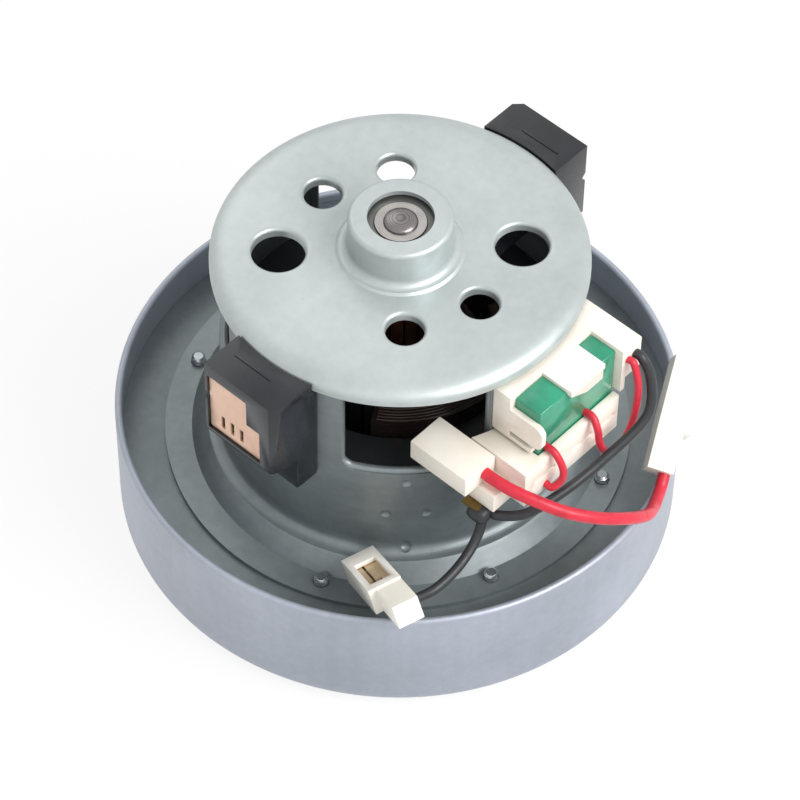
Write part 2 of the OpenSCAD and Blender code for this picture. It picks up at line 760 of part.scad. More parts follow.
module brush_holder() {
    slit_z = brush_z + 2.2;
    slit_l = 3;
    slit_side = sqrt(2) * (holder_reach - plate_x0 - slide_gap);
    crown_x0 = cap_r + cover_gap;
    ridge_x = crown_x0 + 0.3235 * (holder_reach - crown_x0);
    ridge_t = 0.6;
    ridge_h = 0.25;
    side_turn = 77;
    side_x = holder_reach - 0.8 * holder_notch;
    lean = atan(holder_taper * cos(side_turn) / (holder_h + holder_rise));
    color("#2c2f33") difference() {
        union() {
            difference() {
                union() {
                    box(can_in_r, holder_reach, holder_y0, holder_y1, holder_z0, crown_z);
                    box(can_in_r, seat_r + holder_leg_t, holder_y1 - holder_leg_w, holder_y1,
                        leg_z0, crown_z - 1);
                }
                can_clear(leg_z0, crown_z);
                translate([0, 0, holder_top]) cylinder(r = cap_r + cover_gap, h = holder_rise + 1);
            }
            box(stem_x0, can_r + 1, -stem_w / 2, stem_w / 2, brush_z - stem_h / 2, brush_z + stem_h / 2);
            box(ridge_x, ridge_x + ridge_t, 0.64 * holder_y0, 0.39 * holder_y1,
                crown_z - 1, crown_z + ridge_h);
        }
        brush_channel(stem_x0 - 1, plate_x0 + eps, brush_tube_t + press_gap);
        along_x(plate_x0, holder_reach + 1) end_window(0);
        translate([holder_reach, holder_y0 - 1, slit_z]) rotate([0, 45, 0])
            box(-slit_side / 2, slit_side / 2, 0, slit_l, -slit_side / 2, slit_side / 2);
        translate([holder_reach - holder_notch, holder_y1, 0]) rotate(45)
            box(0, holder_w, -holder_w, holder_w, leg_z0 - 1, crown_z + 1);
        translate([side_x, holder_y1, crown_z]) rotate([0, lean, side_turn])
            box(0, holder_w, -holder_w, holder_w, -2 * holder_h, holder_h);
    }
}

module brush_tube() {
    color("#b8954a") difference() {
        brush_channel(tube_x0, plate_x0, brush_tube_t);
        brush_channel(tube_x0 - 1, plate_x0 + 1, 0);
    }
}

module end_plate() {
    slot_w2 = 0.025 * holder_w;
    slot_z = brush_z - 0.245 * holder_h;
    slot_h2 = 0.103 * holder_h;
    color("#d9a78c") difference() {
        along_x(plate_x0, plate_x1) end_window(seat_gap);
        for (y = [0.5, 0.2, -0.1] * holder_y0)
            box(plate_x0 - 1, plate_x1 + 1, y - slot_w2, y + slot_w2, slot_z - slot_h2, slot_z + slot_h2);
    }
}

module carbon_brush() {
    h = brush_h / 2;
    color("#26272a") difference() {
        box(brush_x0 - 1.2, brush_x1, -brush_w / 2, brush_w / 2, brush_z - h, brush_z + h);
        translate([0, 0, brush_z - h - 1]) cylinder(r = brush_x0, h = brush_h + 2);
    }
}

spring_rings = 8;
spring_l = plate_x0 - slide_gap - spring_x0 - spring_wire_d;
spring_points = [for (i = [0 : spring_turns * spring_rings])
    let (a = 360 * i / spring_rings, r = (spring_d - spring_wire_d) / 2)
    [spring_x0 + spring_wire_d / 2 + spring_l * i / (spring_turns * spring_rings),
        r * cos(a), brush_z + r * sin(a)]];
// Least gap between two turns of the spring, measured on its points
spring_gap = min([for (i = [0 : len(spring_points) - 1], j = [i + spring_rings - 2 : i + spring_rings + 2])
    if (j < len(spring_points)) norm(spring_points[j] - spring_points[i])]) - spring_wire_d;

module brush_spring() {
    n = len(spring_points);
    color("#9ea3a6") swept_tube(spring_points, spring_wire_d, 6,
        spring_points[1] - spring_points[0], spring_points[n - 1] - spring_points[n - 2]);
}

module brush_holder_left() {
    rotate(180) brush_holder();
}

module brush_holder_right() {
    brush_holder();
}

module brush_tube_left() {
    rotate(180) brush_tube();
}

module brush_tube_right() {
    brush_tube();
}

module end_plate_left() {
    rotate(180) end_plate();
}

module end_plate_right() {
    end_plate();
}

module carbon_brush_left() {
    rotate(180) carbon_brush();
}

module carbon_brush_right() {
    carbon_brush();
}

module brush_spring_left() {
    rotate(180) brush_spring();
}

module brush_spring_right() {
    brush_spring();
}

// Terminals on the -Y side

// Cut that rounds a front corner of the cover's cheek, above it or below it
module cheek_round(z, above) {
    r = 2.2;
    side = above ? 1 : -1;
    difference() {
        box(cover_x0 - 1, cutout_x0, block_y - 1, block_y + r, min(z - side * r, z + side),
            max(z - side * r, z + side));
        translate([cover_x0 - 2, block_y + r, z - side * r]) rotate([0, 90, 0])
            cylinder(r = r, h = cover_t + 4, $fn = 48);
    }
}

module terminal_cover() {
    pocket_y1 = cutout_y1 + slide_gap;
    pocket_x1 = cutout_x1 + slide_gap;
    tongue_x0 = (cutout_x0 + cutout_x1) / 2 - tongue_w / 2 + 2;
    cheek_top = cover_top - 4;
    slit_z1 = cover_z0 + 2.8;
    lip_w = tongue_w - 0.6;
    lip_h = 4.2;
    lobe_z0 = cover_top - 10;
    window_x = can_r * cos(window_at + window_angle / 2);
    color("#efe9dc") {
        difference() {
            box(cover_x0, cover_x1, block_y, -20, cover_z0, cover_top);
            can_clear(cover_z0, cover_top);
            box(cutout_x0 - slide_gap, pocket_x1, block_y - 1, pocket_y1, cover_z0 - 1, cover_top + 1);
            box(cover_x0 - 1, cutout_x0, block_y - 1, pocket_y1, cheek_top, cover_top + 1);
            box(cover_x0 - 1, cutout_x0, block_y - 1, block_y + 3, cover_z0 - 1, slit_z1);
            box(cover_x0 - 1, cutout_x0, block_y - 1, pocket_y1, slit_z1 - 1.6, slit_z1);
            cheek_round(cheek_top, true);
            cheek_round(slit_z1, false);
            box(pocket_x1 + cover_t, cover_x1 + 1, block_y - 1, -20, cover_z0 - 1, lobe_z0);
        }
        box(tongue_x0, tongue_x0 + tongue_w, block_y + 0.8, pocket_y1 + 1,
            cover_top - tongue_t, cover_top);
        translate([tongue_x0 + tongue_w / 2, cutout_y0 - slide_gap, cover_top - tongue_t / 2])
            rotate([90, 0, 0]) linear_extrude(cutout_y0 - slide_gap - block_y - 1)
            polygon([[-lip_w / 2, 0], [-lip_w / 2, -lip_h / 3], [0, -lip_h],
                [lip_w / 2, -lip_h], [lip_w / 2, 0]]);
        box(window_x + 1, window_x + 4, -seat_r, -can_in_r + 8, lobe_z0 + 1, lobe_z0 + 6);
        box(window_x - 2, window_x + 4, -can_in_r + 3.6, -can_in_r + 6, lobe_z0 + 1, lobe_z0 + 6);
    }
}

module thermal_cutout() {
    tongue_x0 = (cutout_x0 + cutout_x1) / 2 - tongue_w / 2 + 2;
    color("#2f9a78") difference() {
        box(cutout_x0, cutout_x1, cutout_y1 - cutout_d, cutout_y1, cutout_z0, cutout_top);
        box(tongue_x0 - slide_gap, tongue_x0 + tongue_w + slide_gap, cutout_y1 - cutout_d - 1,
            cutout_y1 + 1, cover_top - tongue_t - slide_gap, cover_top + 1);
        box(cutout_x0 + 2, cutout_x1 - 2, cutout_y1 - cutout_d + 2, cutout_y1 + 1,
            cutout_z0 - 1, cutout_top - 5);
    }
}

module socket_slits() {
    for (x = [housing_x0 + 7, 2, housing_x1 - 4.5])
        box(x - 3.4, x + 3.4, block_y - 1, block_y + 8, housing_top - 6.4, housing_top - 5.2);
}

module terminal_housing() {
    color("#f2ede2") difference() {
        union() {
            box(housing_x0, housing_x1, block_y, -20, housing_z0, housing_top);
            box(lobe_x0, housing_x0 + 1, block_y + 4, -20, housing_z0, lobe_top);
        }
        can_clear(housing_z0, housing_top);
        socket_slits();
        box(cutout_x0 - slide_gap, cutout_x1 + slide_gap, cutout_y1 - cutout_d - slide_gap,
            cutout_y1 + slide_gap, cutout_z0 - slide_gap, housing_top + 1);
    }
}

module coil_connector() {
    x1 = coil_plug_x0 + coil_plug_w;
    y0 = coil_plug_y1 - coil_plug_l;
    wall = 1.4;
    color("#efe8da") difference() {
        box(coil_plug_x0, x1, y0, coil_plug_y1, coil_plug_z0, coil_plug_z0 + coil_plug_h);
        box(coil_plug_x0 + wall, x1 - wall, coil_plug_y1 - 9, coil_plug_y1 + 1,
            coil_plug_z0 + wall, coil_plug_z0 + coil_plug_h - wall);
    }
}

module coil_contact() {
    x = coil_plug_x0 + coil_plug_w / 2;
    color("#b08d45") box(x - 3.1, x + 3.1, coil_plug_y1 - 9, coil_plug_y1 + 1.2,
        coil_plug_z0 + coil_plug_h / 2 - 0.4, coil_plug_z0 + coil_plug_h / 2 + 0.4);
}

module tab_terminal() {
    r = crimp_r;
    color("#a98b4c") {
        translate(tab_at) rotate([90, 0, 0]) linear_extrude(crimp_l)
            rounded_rectangle(-crimp_side - r, crimp_side + r, -r, r, r - eps);
        box(tab_at[0] - 2.4, tab_at[0] + 2.4, tab_at[1] - 2, tab_at[1] + 2.5, housing_z0 - 0.8, housing_z0);
    }
}

// Leads and jumpers

// Turns a place on a lead plug into a place in the part
function turned(p, a) = let (
    u = [p[0], p[1] * cos(a[0]) - p[2] * sin(a[0]), p[1] * sin(a[0]) + p[2] * cos(a[0])],
    v = [u[0] * cos(a[1]) + u[2] * sin(a[1]), u[1], u[2] * cos(a[1]) - u[0] * sin(a[1])])
    [v[0] * cos(a[2]) - v[1] * sin(a[2]), v[0] * sin(a[2]) + v[1] * cos(a[2]), v[2]];
function on_plug(p, at, a) = at + turned(p, a);
plug_end_t = plug_t - 0.6;
side_entry = [plug_l - 4, plug_w / 2, plug_end_t / 2];
end_entry = [plug_l, -0.7, plug_end_t / 2];

// Routes of the wires, each square to the faces at its two ends
front_entry = on_plug(side_entry, front_plug_at, front_plug_turn);
front_out = on_plug(side_entry + [0, 5, 0], front_plug_at, front_plug_turn);
right_entry = on_plug(end_entry, right_plug_at, right_plug_turn);
right_out = on_plug(end_entry + [4, 0, 0], right_plug_at, right_plug_turn);
lead_start = tab_at + [0, -crimp_l / 2, -crimp_r];
jumper_start = tab_at + [crimp_side, -crimp_l, 0];
cutout_y0 = cutout_y1 - cutout_d;
over_z = housing_top + jumper_d / 2 + 0.2;
socket_z = housing_z0 + 2.1;
black_route = [lead_start, lead_start + [0, 0, -2.4], [-25.4, -48.2, 45.4], [-29.6, -48.9, 42.6],
    [-35.2, -49.4, 41.2], front_out, front_entry];
black_jumper_route = [jumper_start, jumper_start + [0, -2, 0], [-18, -56, 53], [-9, -59, 55],
    [2, -61, 58], [13, -63, 63], [17, -62.5, 67], [19, -60, 73], black_socket + [0, -2, 0], black_socket];
red_route = [red_socket, red_socket + [0, -3, 0], [-21.2, -54, 62.9], [-19, -59.5, 61.6],
    [-15.2, -65.2, 59], [-9, -69.8, 55], [-1, -72.4, 49.6], [6.5, -71.8, 43], [13, -68.9, 37.2],
    right_out, right_entry];
jumper_a_route = [[-9, cutout_y0, over_z], [-9, block_y - 0.4, over_z], [-8.8, -57.7, 64.6],
    [-8.4, -58.4, 61], [-9, -58.1, 58.2], [-10.6, block_y - 1.8, socket_z], [-10.6, block_y, socket_z]];
jumper_b_route = [[4.6, cutout_y0, over_z], [4.6, block_y - 0.4, over_z], [4, -57.7, 64.8],
    [4.2, -58.6, 60], [6.6, -59.4, 55.8], [10.4, -59.8, 55.2], [13.6, -59.8, 59], [15.4, -59.6, 65.2],
    [16.2, -58.8, 72], jumper_socket + [0, -1.8, 0], jumper_socket];

module red_jumpers() {
    color("#c8283a") for (route = [jumper_a_route, jumper_b_route]) cord(route, jumper_d, 2);
}

module black_jumper() {
    color("#25262a") cord(black_jumper_route, black_d, 2);
}

module black_lead() {
    color("#25262a") cord(black_route, black_d, 2);
}

module red_lead() {
    color("#cf2f42") cord(red_route, red_d, 2);
}

// Lead plug lying along X, with its open end at x = 0 and its underside at z = 0
module lead_plug() {
    step_x = plug_l * 0.64;
    step_w = 1.9;
    window_l = 10.5;
    difference() {
        union() {
            box(0, step_x, -plug_w / 2, plug_w / 2, 0, plug_t);
            box(step_x - 1, plug_l, -plug_w / 2 + step_w, plug_w / 2, 0, plug_end_t);
        }
        box(-1, step_x - 2, -plug_w / 2 + plug_wall, plug_w / 2 - plug_wall,
            plug_wall, plug_t - plug_wall);
        box(5, 5 + window_l, -2.6, 2.6, plug_t - plug_wall - 1, plug_t + 1);
    }
}

module lead_contact() {
    step_x = plug_l * 0.64;
    half = plug_w / 2 - plug_wall - slide_gap;
    roof = plug_t - plug_wall - slide_gap;
    sheet = 0.7;
    split_x1 = step_x - 5.6;
    difference() {
        box(2, step_x - 2, -half, half, plug_wall, roof);
        box(1, step_x - 2 - sheet, -half + sheet, half - sheet, plug_wall + sheet, roof - sheet);
        box(1, split_x1, -1.1, -0.5, roof - 2 * sheet, roof + 1);
        box(split_x1 - eps, split_x1 + 2.6, -1.8, 1, roof - 2 * sheet, roof + 1);
    }
}

module front_plug() {
    color("#f4f1ea") translate(front_plug_at) rotate(front_plug_turn) lead_plug();
}

module right_plug() {
    color("#f4f1ea") translate(right_plug_at) rotate(right_plug_turn) lead_plug();
}

module front_contact() {
    color("#b08d45") translate(front_plug_at) rotate(front_plug_turn) lead_contact();
}

module right_contact() {
    color("#b08d45") translate(right_plug_at) rotate(right_plug_turn) lead_contact();
}

// Pieces that turn with the shaft

module shaft() {
    r = shaft_r;
    mid_z0 = lower_z + bearing_w;
    color("#b4babd") rotate_extrude() polygon(concat(
        [[0, shaft_z0], [r - 0.6, shaft_z0], [r, shaft_z0 + 0.6], [r, mid_z0],
            [shaft_mid_r, mid_z0], [shaft_mid_r, upper_z], [r, upper_z]],
        arc([0, shaft_z1 - 1.2], r, 1.2, 0, 90)));
}

module armature_core() {
    slot_r0 = armature_r * 0.58;
    mouth_w = slot_w * 0.55;
    color("#6b6f71") translate([0, 0, core_z0]) linear_extrude(core_h) difference() {
        circle(armature_r);
        circle(shaft_mid_r + press_gap);
        for (i = [0 : slot_count - 1]) rotate(i * 360 / slot_count) {
            translate([slot_r0, -slot_w / 2]) square([armature_r - 1.2 - slot_r0, slot_w]);
            translate([slot_r0, -mouth_w / 2]) square([armature_r - slot_r0 + 1, mouth_w]);
        }
    }
}

module armature_winding() {
    gap = slide_gap;
    slot_r0 = armature_r * 0.58;
    r0 = shaft_mid_r + 2;
    r1 = armature_r - 1.5;
    c = winding_h / 2;
    head = concat(arc([r0 + c, c], c, c, 180, 270, 6), arc([r1 - c, c], c, c, 270, 360, 6),
        [[r1, winding_h], [r0, winding_h]]);
    color("#7a3d20") {
        translate([0, 0, core_z0 - gap - winding_h]) rotate_extrude() polygon(head);
        translate([0, 0, core_z1 + gap + winding_h]) mirror([0, 0, 1]) rotate_extrude() polygon(head);
        for (i = [0 : slot_count - 1]) rotate(i * 360 / slot_count)
            box(slot_r0 + gap, r1 - gap, -slot_w / 2 + gap, slot_w / 2 - gap,
                core_z0 - gap - 0.5, core_z1 + gap + 0.5);
    }
}

commutator_z0 = brush_z - commutator_h / 2;
commutator_z1 = brush_z + commutator_h / 2;
hub_r = commutator_r - 3.2;

module commutator_hub() {
    color("#4a2f22") ring(shaft_mid_r + press_gap, hub_r, commutator_z0 - 2.6, commutator_z1 + 0.8);
}

module commutator_bars() {
    pitch = 360 / slot_count;
    turn = pitch - bar_gap / commutator_r * 180 / PI;
    riser_r = commutator_r + 1.4;
    color("#b06a3c") for (i = [0 : slot_count - 1]) rotate(i * pitch)
        rotate_extrude(angle = turn) polygon([[hub_r + press_gap, commutator_z0 - 2.4],
            [riser_r, commutator_z0 - 2.4], [riser_r, commutator_z0 - 0.4],
            [commutator_r, commutator_z0 - 0.4], [commutator_r, commutator_z1],
            [hub_r + press_gap, commutator_z1]]);
}

module fan_back_disc() {
    color("#b7bec2") ring(shaft_r + press_gap, fan_r, blade_top_z, fan_top_z);
}

// Section of the fan's front disc, or of the space below its upper face
module front_section(t) {
    polygon([[eye_r, eye_z], [fan_r, edge_z], [fan_r, edge_z - t], [eye_r, eye_z - t]]);
}

module fan_front_disc() {
    color("#b7bec2") rotate_extrude() front_section(fan_t);
}

module fan_blades() {
    color("#aeb6ba") difference() {
        for (i = [0 : blade_count - 1]) rotate(blade_from + i * 360 / blade_count)
            translate([0, 0, eye_z]) linear_extrude(eye_h)
                polygon(vane(eye_r + 0.5, fan_r - 0.5, -48, blade_t));
        rotate_extrude() front_section(eye_h);
    }
}

module fan_spacer() {
    color("#a7adb0") ring(shaft_r + press_gap, shoulder_in_r, fan_top_z, lower_z);
}

module fan_washer() {
    color("#b3b9bc") ring(shaft_r + press_gap, fan_washer_d / 2, fan_washer_z, blade_top_z);
}

module fan_nut() {
    color("#9fa5a8") difference() {
        translate([0, 0, nut_z]) cylinder(d = nut_w / cos(30), h = nut_h, $fn = 6);
        translate([0, 0, nut_z - 1]) cylinder(r = shaft_r + press_gap, h = nut_h + 2);
    }
}

echo(str("least gap between the turns of a brush spring: ", spring_gap, " mm"));

fan_case();
diffuser();
bearing_plate();
motor_frame();
frame_screws();
end_cap();
field_core();
field_coil_front();
field_coil_back();
lower_bearing_outer();
lower_bearing_shields();
upper_bearing_outer();
upper_bearing_shields();
wave_washer();
brush_holder_left();
brush_holder_right();
brush_tube_left();
brush_tube_right();
end_plate_left();
end_plate_right();
brush_spring_left();
brush_spring_right();
carbon_brush_left();
carbon_brush_right();
terminal_cover();
terminal_housing();
thermal_cutout();
coil_connector();
coil_contact();
tab_terminal();
red_jumpers();
black_jumper();
black_lead();
red_lead();
front_plug();
right_plug();
front_contact();
right_contact();
shaft();
armature_core();
armature_winding();
commutator_hub();
commutator_bars();
lower_bearing_inner();
upper_bearing_inner();
fan_back_disc();
fan_blades();
fan_front_disc();
fan_spacer();
fan_washer();
fan_nut();
lower_bearing_balls();
lower_bearing_cage();
upper_bearing_balls();
upper_bearing_cage();
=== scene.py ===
"""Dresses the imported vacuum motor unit: wires, fine forms, finishes, camera and studio.

Every length is in metres in the frame of the solids. The axis of the motor is Z, the brushes lie
along X and the terminals are on the -Y side.
"""

from __future__ import annotations

import json
import logging
import math
from dataclasses import dataclass
from enum import Enum
from typing import Any, Callable, Iterable, Mapping, Sequence

import bmesh
import bpy
from mathutils import Matrix, Vector
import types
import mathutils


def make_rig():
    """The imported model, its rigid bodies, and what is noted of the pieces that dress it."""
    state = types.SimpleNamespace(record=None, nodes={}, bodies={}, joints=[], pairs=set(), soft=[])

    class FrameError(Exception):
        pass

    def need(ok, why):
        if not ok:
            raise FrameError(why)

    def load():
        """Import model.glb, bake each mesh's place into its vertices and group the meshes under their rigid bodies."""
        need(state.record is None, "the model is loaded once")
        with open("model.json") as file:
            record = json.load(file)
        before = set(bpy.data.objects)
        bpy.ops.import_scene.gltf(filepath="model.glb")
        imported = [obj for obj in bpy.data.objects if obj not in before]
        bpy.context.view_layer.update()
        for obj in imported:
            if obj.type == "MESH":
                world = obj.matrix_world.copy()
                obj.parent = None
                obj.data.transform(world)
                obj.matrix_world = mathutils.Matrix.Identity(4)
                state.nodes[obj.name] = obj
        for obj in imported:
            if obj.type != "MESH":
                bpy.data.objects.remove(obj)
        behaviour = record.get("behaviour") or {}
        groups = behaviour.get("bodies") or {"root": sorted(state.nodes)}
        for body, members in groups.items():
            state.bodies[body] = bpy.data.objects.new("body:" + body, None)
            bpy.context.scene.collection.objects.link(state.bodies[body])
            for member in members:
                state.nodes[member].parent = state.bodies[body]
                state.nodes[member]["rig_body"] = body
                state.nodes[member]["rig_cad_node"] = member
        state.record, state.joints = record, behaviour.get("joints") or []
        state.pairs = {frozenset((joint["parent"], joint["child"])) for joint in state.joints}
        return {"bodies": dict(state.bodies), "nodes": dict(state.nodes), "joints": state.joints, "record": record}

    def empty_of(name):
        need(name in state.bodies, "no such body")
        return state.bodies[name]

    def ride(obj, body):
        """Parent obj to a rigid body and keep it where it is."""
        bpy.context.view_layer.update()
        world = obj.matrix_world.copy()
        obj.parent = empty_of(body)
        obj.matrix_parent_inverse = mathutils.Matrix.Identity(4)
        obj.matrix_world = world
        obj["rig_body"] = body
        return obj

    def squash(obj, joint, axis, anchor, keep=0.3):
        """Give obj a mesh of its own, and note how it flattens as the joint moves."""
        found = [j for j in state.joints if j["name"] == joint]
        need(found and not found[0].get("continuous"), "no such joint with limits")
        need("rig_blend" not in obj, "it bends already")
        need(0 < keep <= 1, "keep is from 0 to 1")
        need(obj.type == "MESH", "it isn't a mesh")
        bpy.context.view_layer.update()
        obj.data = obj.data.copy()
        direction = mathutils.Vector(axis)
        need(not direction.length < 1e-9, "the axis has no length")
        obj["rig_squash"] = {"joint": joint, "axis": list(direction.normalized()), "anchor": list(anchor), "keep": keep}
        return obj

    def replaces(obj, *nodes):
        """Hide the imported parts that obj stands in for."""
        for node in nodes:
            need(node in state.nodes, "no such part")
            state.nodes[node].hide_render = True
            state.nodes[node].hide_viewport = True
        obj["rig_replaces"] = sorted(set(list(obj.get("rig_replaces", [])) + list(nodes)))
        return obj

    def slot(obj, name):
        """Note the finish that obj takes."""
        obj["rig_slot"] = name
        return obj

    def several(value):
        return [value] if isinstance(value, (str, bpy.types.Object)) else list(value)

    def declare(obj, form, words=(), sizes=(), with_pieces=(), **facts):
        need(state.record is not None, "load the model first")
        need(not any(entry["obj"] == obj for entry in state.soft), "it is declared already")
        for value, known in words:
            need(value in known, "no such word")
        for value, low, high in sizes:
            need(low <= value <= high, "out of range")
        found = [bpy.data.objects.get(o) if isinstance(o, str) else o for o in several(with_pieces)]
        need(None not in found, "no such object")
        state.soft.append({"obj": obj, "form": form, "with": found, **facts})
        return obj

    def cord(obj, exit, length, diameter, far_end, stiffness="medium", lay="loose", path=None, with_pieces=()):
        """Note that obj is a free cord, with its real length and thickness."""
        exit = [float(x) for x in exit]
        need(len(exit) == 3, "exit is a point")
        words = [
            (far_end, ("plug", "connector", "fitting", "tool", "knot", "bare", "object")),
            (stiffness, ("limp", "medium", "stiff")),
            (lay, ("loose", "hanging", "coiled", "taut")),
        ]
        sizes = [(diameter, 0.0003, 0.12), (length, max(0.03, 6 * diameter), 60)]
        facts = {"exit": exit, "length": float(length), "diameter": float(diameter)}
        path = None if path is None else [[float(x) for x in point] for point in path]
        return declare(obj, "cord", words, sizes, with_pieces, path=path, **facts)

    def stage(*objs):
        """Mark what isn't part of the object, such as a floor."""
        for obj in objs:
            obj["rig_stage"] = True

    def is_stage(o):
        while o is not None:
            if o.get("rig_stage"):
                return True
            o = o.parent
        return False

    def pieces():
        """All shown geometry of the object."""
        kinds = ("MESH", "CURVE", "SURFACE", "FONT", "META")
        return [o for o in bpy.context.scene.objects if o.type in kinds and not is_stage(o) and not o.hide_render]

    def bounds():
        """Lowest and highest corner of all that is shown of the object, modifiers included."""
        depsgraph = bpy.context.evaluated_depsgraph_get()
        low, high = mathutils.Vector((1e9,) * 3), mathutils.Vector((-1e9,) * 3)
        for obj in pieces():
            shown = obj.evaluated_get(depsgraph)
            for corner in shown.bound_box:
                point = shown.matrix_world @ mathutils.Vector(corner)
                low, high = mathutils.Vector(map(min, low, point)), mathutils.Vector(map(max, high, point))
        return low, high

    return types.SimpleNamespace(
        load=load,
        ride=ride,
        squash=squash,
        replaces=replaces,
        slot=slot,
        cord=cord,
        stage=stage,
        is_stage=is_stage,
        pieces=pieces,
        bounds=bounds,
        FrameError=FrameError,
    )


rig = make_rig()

LOG = logging.getLogger("motor_unit")
MM = 0.001
WELD = 2e-6
SAME_POINT = 1e-7
FLAT_ANGLE = 1.0
EDGE_ANGLE = 28.0
ROUND_SHADE = 40.0
Point = tuple[float, float, float]
Colour = tuple[float, float, float, float]


def tint(code: str) -> Colour:
    """Turns a display colour into the linear colour that a shader takes.

    Args:
        code: Six hexadecimal digits, red first.

    Returns:
        Linear red, green, blue and an alpha of one.
    """
    parts = [int(code[i:i + 2], 16) / 255 for i in (0, 2, 4)]
    linear = [p / 12.92 if p <= 0.04045 else ((p + 0.055) / 1.055) ** 2.4 for p in parts]
    return linear[0], linear[1], linear[2], 1.0


# Shaders


class Value:
    """A socket of a shader tree. Arithmetic on it adds Math nodes."""

    def __init__(self, shader: Shader, socket: bpy.types.NodeSocket) -> None:
        """Wraps an output socket of a shader."""
        self.shader = shader
        self.socket = socket

    def _maths(self, operation: str, first: Any, second: Any) -> Value:
        """Adds one Math node on two operands."""
        return self.shader.node("ShaderNodeMath", {"operation": operation}, {0: first, 1: second})

    def __add__(self, other: Any) -> Value:
        """Adds."""
        return self._maths("ADD", self, other)

    def __radd__(self, other: Any) -> Value:
        """Adds, with the number first."""
        return self._maths("ADD", other, self)

    def __sub__(self, other: Any) -> Value:
        """Subtracts."""
        return self._maths("SUBTRACT", self, other)

    def __rsub__(self, other: Any) -> Value:
        """Subtracts from a number."""
        return self._maths("SUBTRACT", other, self)

    def __mul__(self, other: Any) -> Value:
        """Multiplies."""
        return self._maths("MULTIPLY", self, other)

    def most(self, other: Any) -> Value:
        """Takes the larger of two values."""
        return self._maths("MAXIMUM", self, other)


def add_node(tree: bpy.types.NodeTree, kind: str, settings: Mapping[str, Any] | None,
             inputs: Mapping[int | str, Any] | None) -> bpy.types.Node:
    """Adds a node to a tree.

    Args:
        tree: The shader tree or Geometry Nodes tree.
        kind: Blender's name of the node type.
        settings: Properties, set first.
        inputs: Values or links by socket.

    Returns:
        The node.
    """
    made = tree.nodes.new(kind)
    for name, setting in (settings or {}).items():
        setattr(made, name, setting)
    for socket, value in (inputs or {}).items():
        source = value.socket if isinstance(value, Value) else value
        if isinstance(source, bpy.types.NodeSocket):
            tree.links.new(source, made.inputs[socket])
        else:
            made.inputs[socket].default_value = source
    return made


class Shader:
    """The node tree of one material or of the world."""

    def __init__(self, owner: bpy.types.Material | bpy.types.World) -> None:
        """Empties the tree of a new material or world."""
        self.owner = owner
        owner.use_nodes = True
        self.tree = owner.node_tree
        self.tree.nodes.clear()

    def node(self, kind: str, settings: Mapping[str, Any] | None = None,
             inputs: Mapping[int | str, Any] | None = None, output: int | str = 0) -> Value:
        """Adds a node and gives one of its outputs."""
        return Value(self, add_node(self.tree, kind, settings, inputs).outputs[output])

    def place(self, stretch: Point = (1.0, 1.0, 1.0)) -> Value:
        """Gives the place on the object, stretched along its axes."""
        where = self.node("ShaderNodeTexCoord", output="Object")
        return self.node("ShaderNodeMapping", inputs={"Vector": where, "Scale": stretch})

    def noise(self, scale: float, detail: float = 2.0, roughness: float = 0.5,
              stretch: Point = (1.0, 1.0, 1.0)) -> Value:
        """Adds cloudy noise.

        Args:
            scale: Clouds per metre.
            detail: Number of finer layers.
            roughness: Strength of the finer layers.
            stretch: Stretch of the place along the axes.

        Returns:
            The noise, from 0 to 1.
        """
        return self.node("ShaderNodeTexNoise", inputs={
            "Vector": self.place(stretch), "Scale": scale, "Detail": detail,
            "Roughness": roughness})

    def lines(self, period: float, rings: bool = False) -> Value:
        """Adds fine parallel lines, across Z or as rings round Z.

        Args:
            period: Distance between two lines, in metres.
            rings: True for rings round the axis.

        Returns:
            The lines, from 0 to 1.
        """
        settings = {"wave_type": "RINGS", "rings_direction": "Z"} if rings else {
            "wave_type": "BANDS", "bands_direction": "Z"}
        return self.node("ShaderNodeTexWave", settings, {
            "Vector": self.place(), "Scale": math.tau / 20 / period, "Distortion": 0.6,
            "Detail": 1.0, "Detail Scale": 0.4}, "Fac")

    def fade(self, value: Value, low: float, high: float, start: float = 0.0,
             end: float = 1.0) -> Value:
        """Maps a range onto another one, and holds it there."""
        return self.node("ShaderNodeMapRange", inputs={0: value, 1: low, 2: high, 3: start, 4: end})

    def mix(self, share: Value, first: Any, second: Any) -> Value:
        """Mixes two colours."""
        return self.node("ShaderNodeMix", {"data_type": "RGBA"}, {0: share, 6: first, 7: second}, 2)

    def relief(self, height: Value, depth: float, strength: float = 1.0) -> Value:
        """Turns a height into a normal, for a depth in metres."""
        return self.node("ShaderNodeBump", inputs={
            "Height": height, "Distance": depth, "Strength": strength})

    def surface(self, **sockets: Any) -> bpy.types.Material:
        """Ends the tree in a Principled surface.

        Args:
            sockets: Values of its sockets, with an underscore for a space.

        Returns:
            The finished material.
        """
        shine = self.node("ShaderNodeBsdfPrincipled", inputs={
            name.replace("_", " "): value for name, value in sockets.items()}, output="BSDF")
        self.close(shine)
        return self.owner

    def close(self, shader: Value, kind: str = "ShaderNodeOutputMaterial") -> None:
        """Joins a shader to an output node of that kind."""
        out = self.tree.nodes.new(kind)
        self.tree.links.new(shader.socket, out.inputs["Surface"])


@dataclass(frozen=True)
class Finish:
    """A finish that makes its material once.

    Attributes:
        name: Name of the material.
        face: Main colour.
        shade: Colour of dull patches, marks and hollows.
    """

    name: str
    face: str
    shade: str

    def make(self, s: Shader) -> bpy.types.Material:
        """Builds the material on an empty tree."""
        raise NotImplementedError

    def material(self) -> bpy.types.Material:
        """Gives the material, made at its first use."""
        known = bpy.data.materials.get(self.name)
        return known or self.make(Shader(bpy.data.materials.new(self.name)))


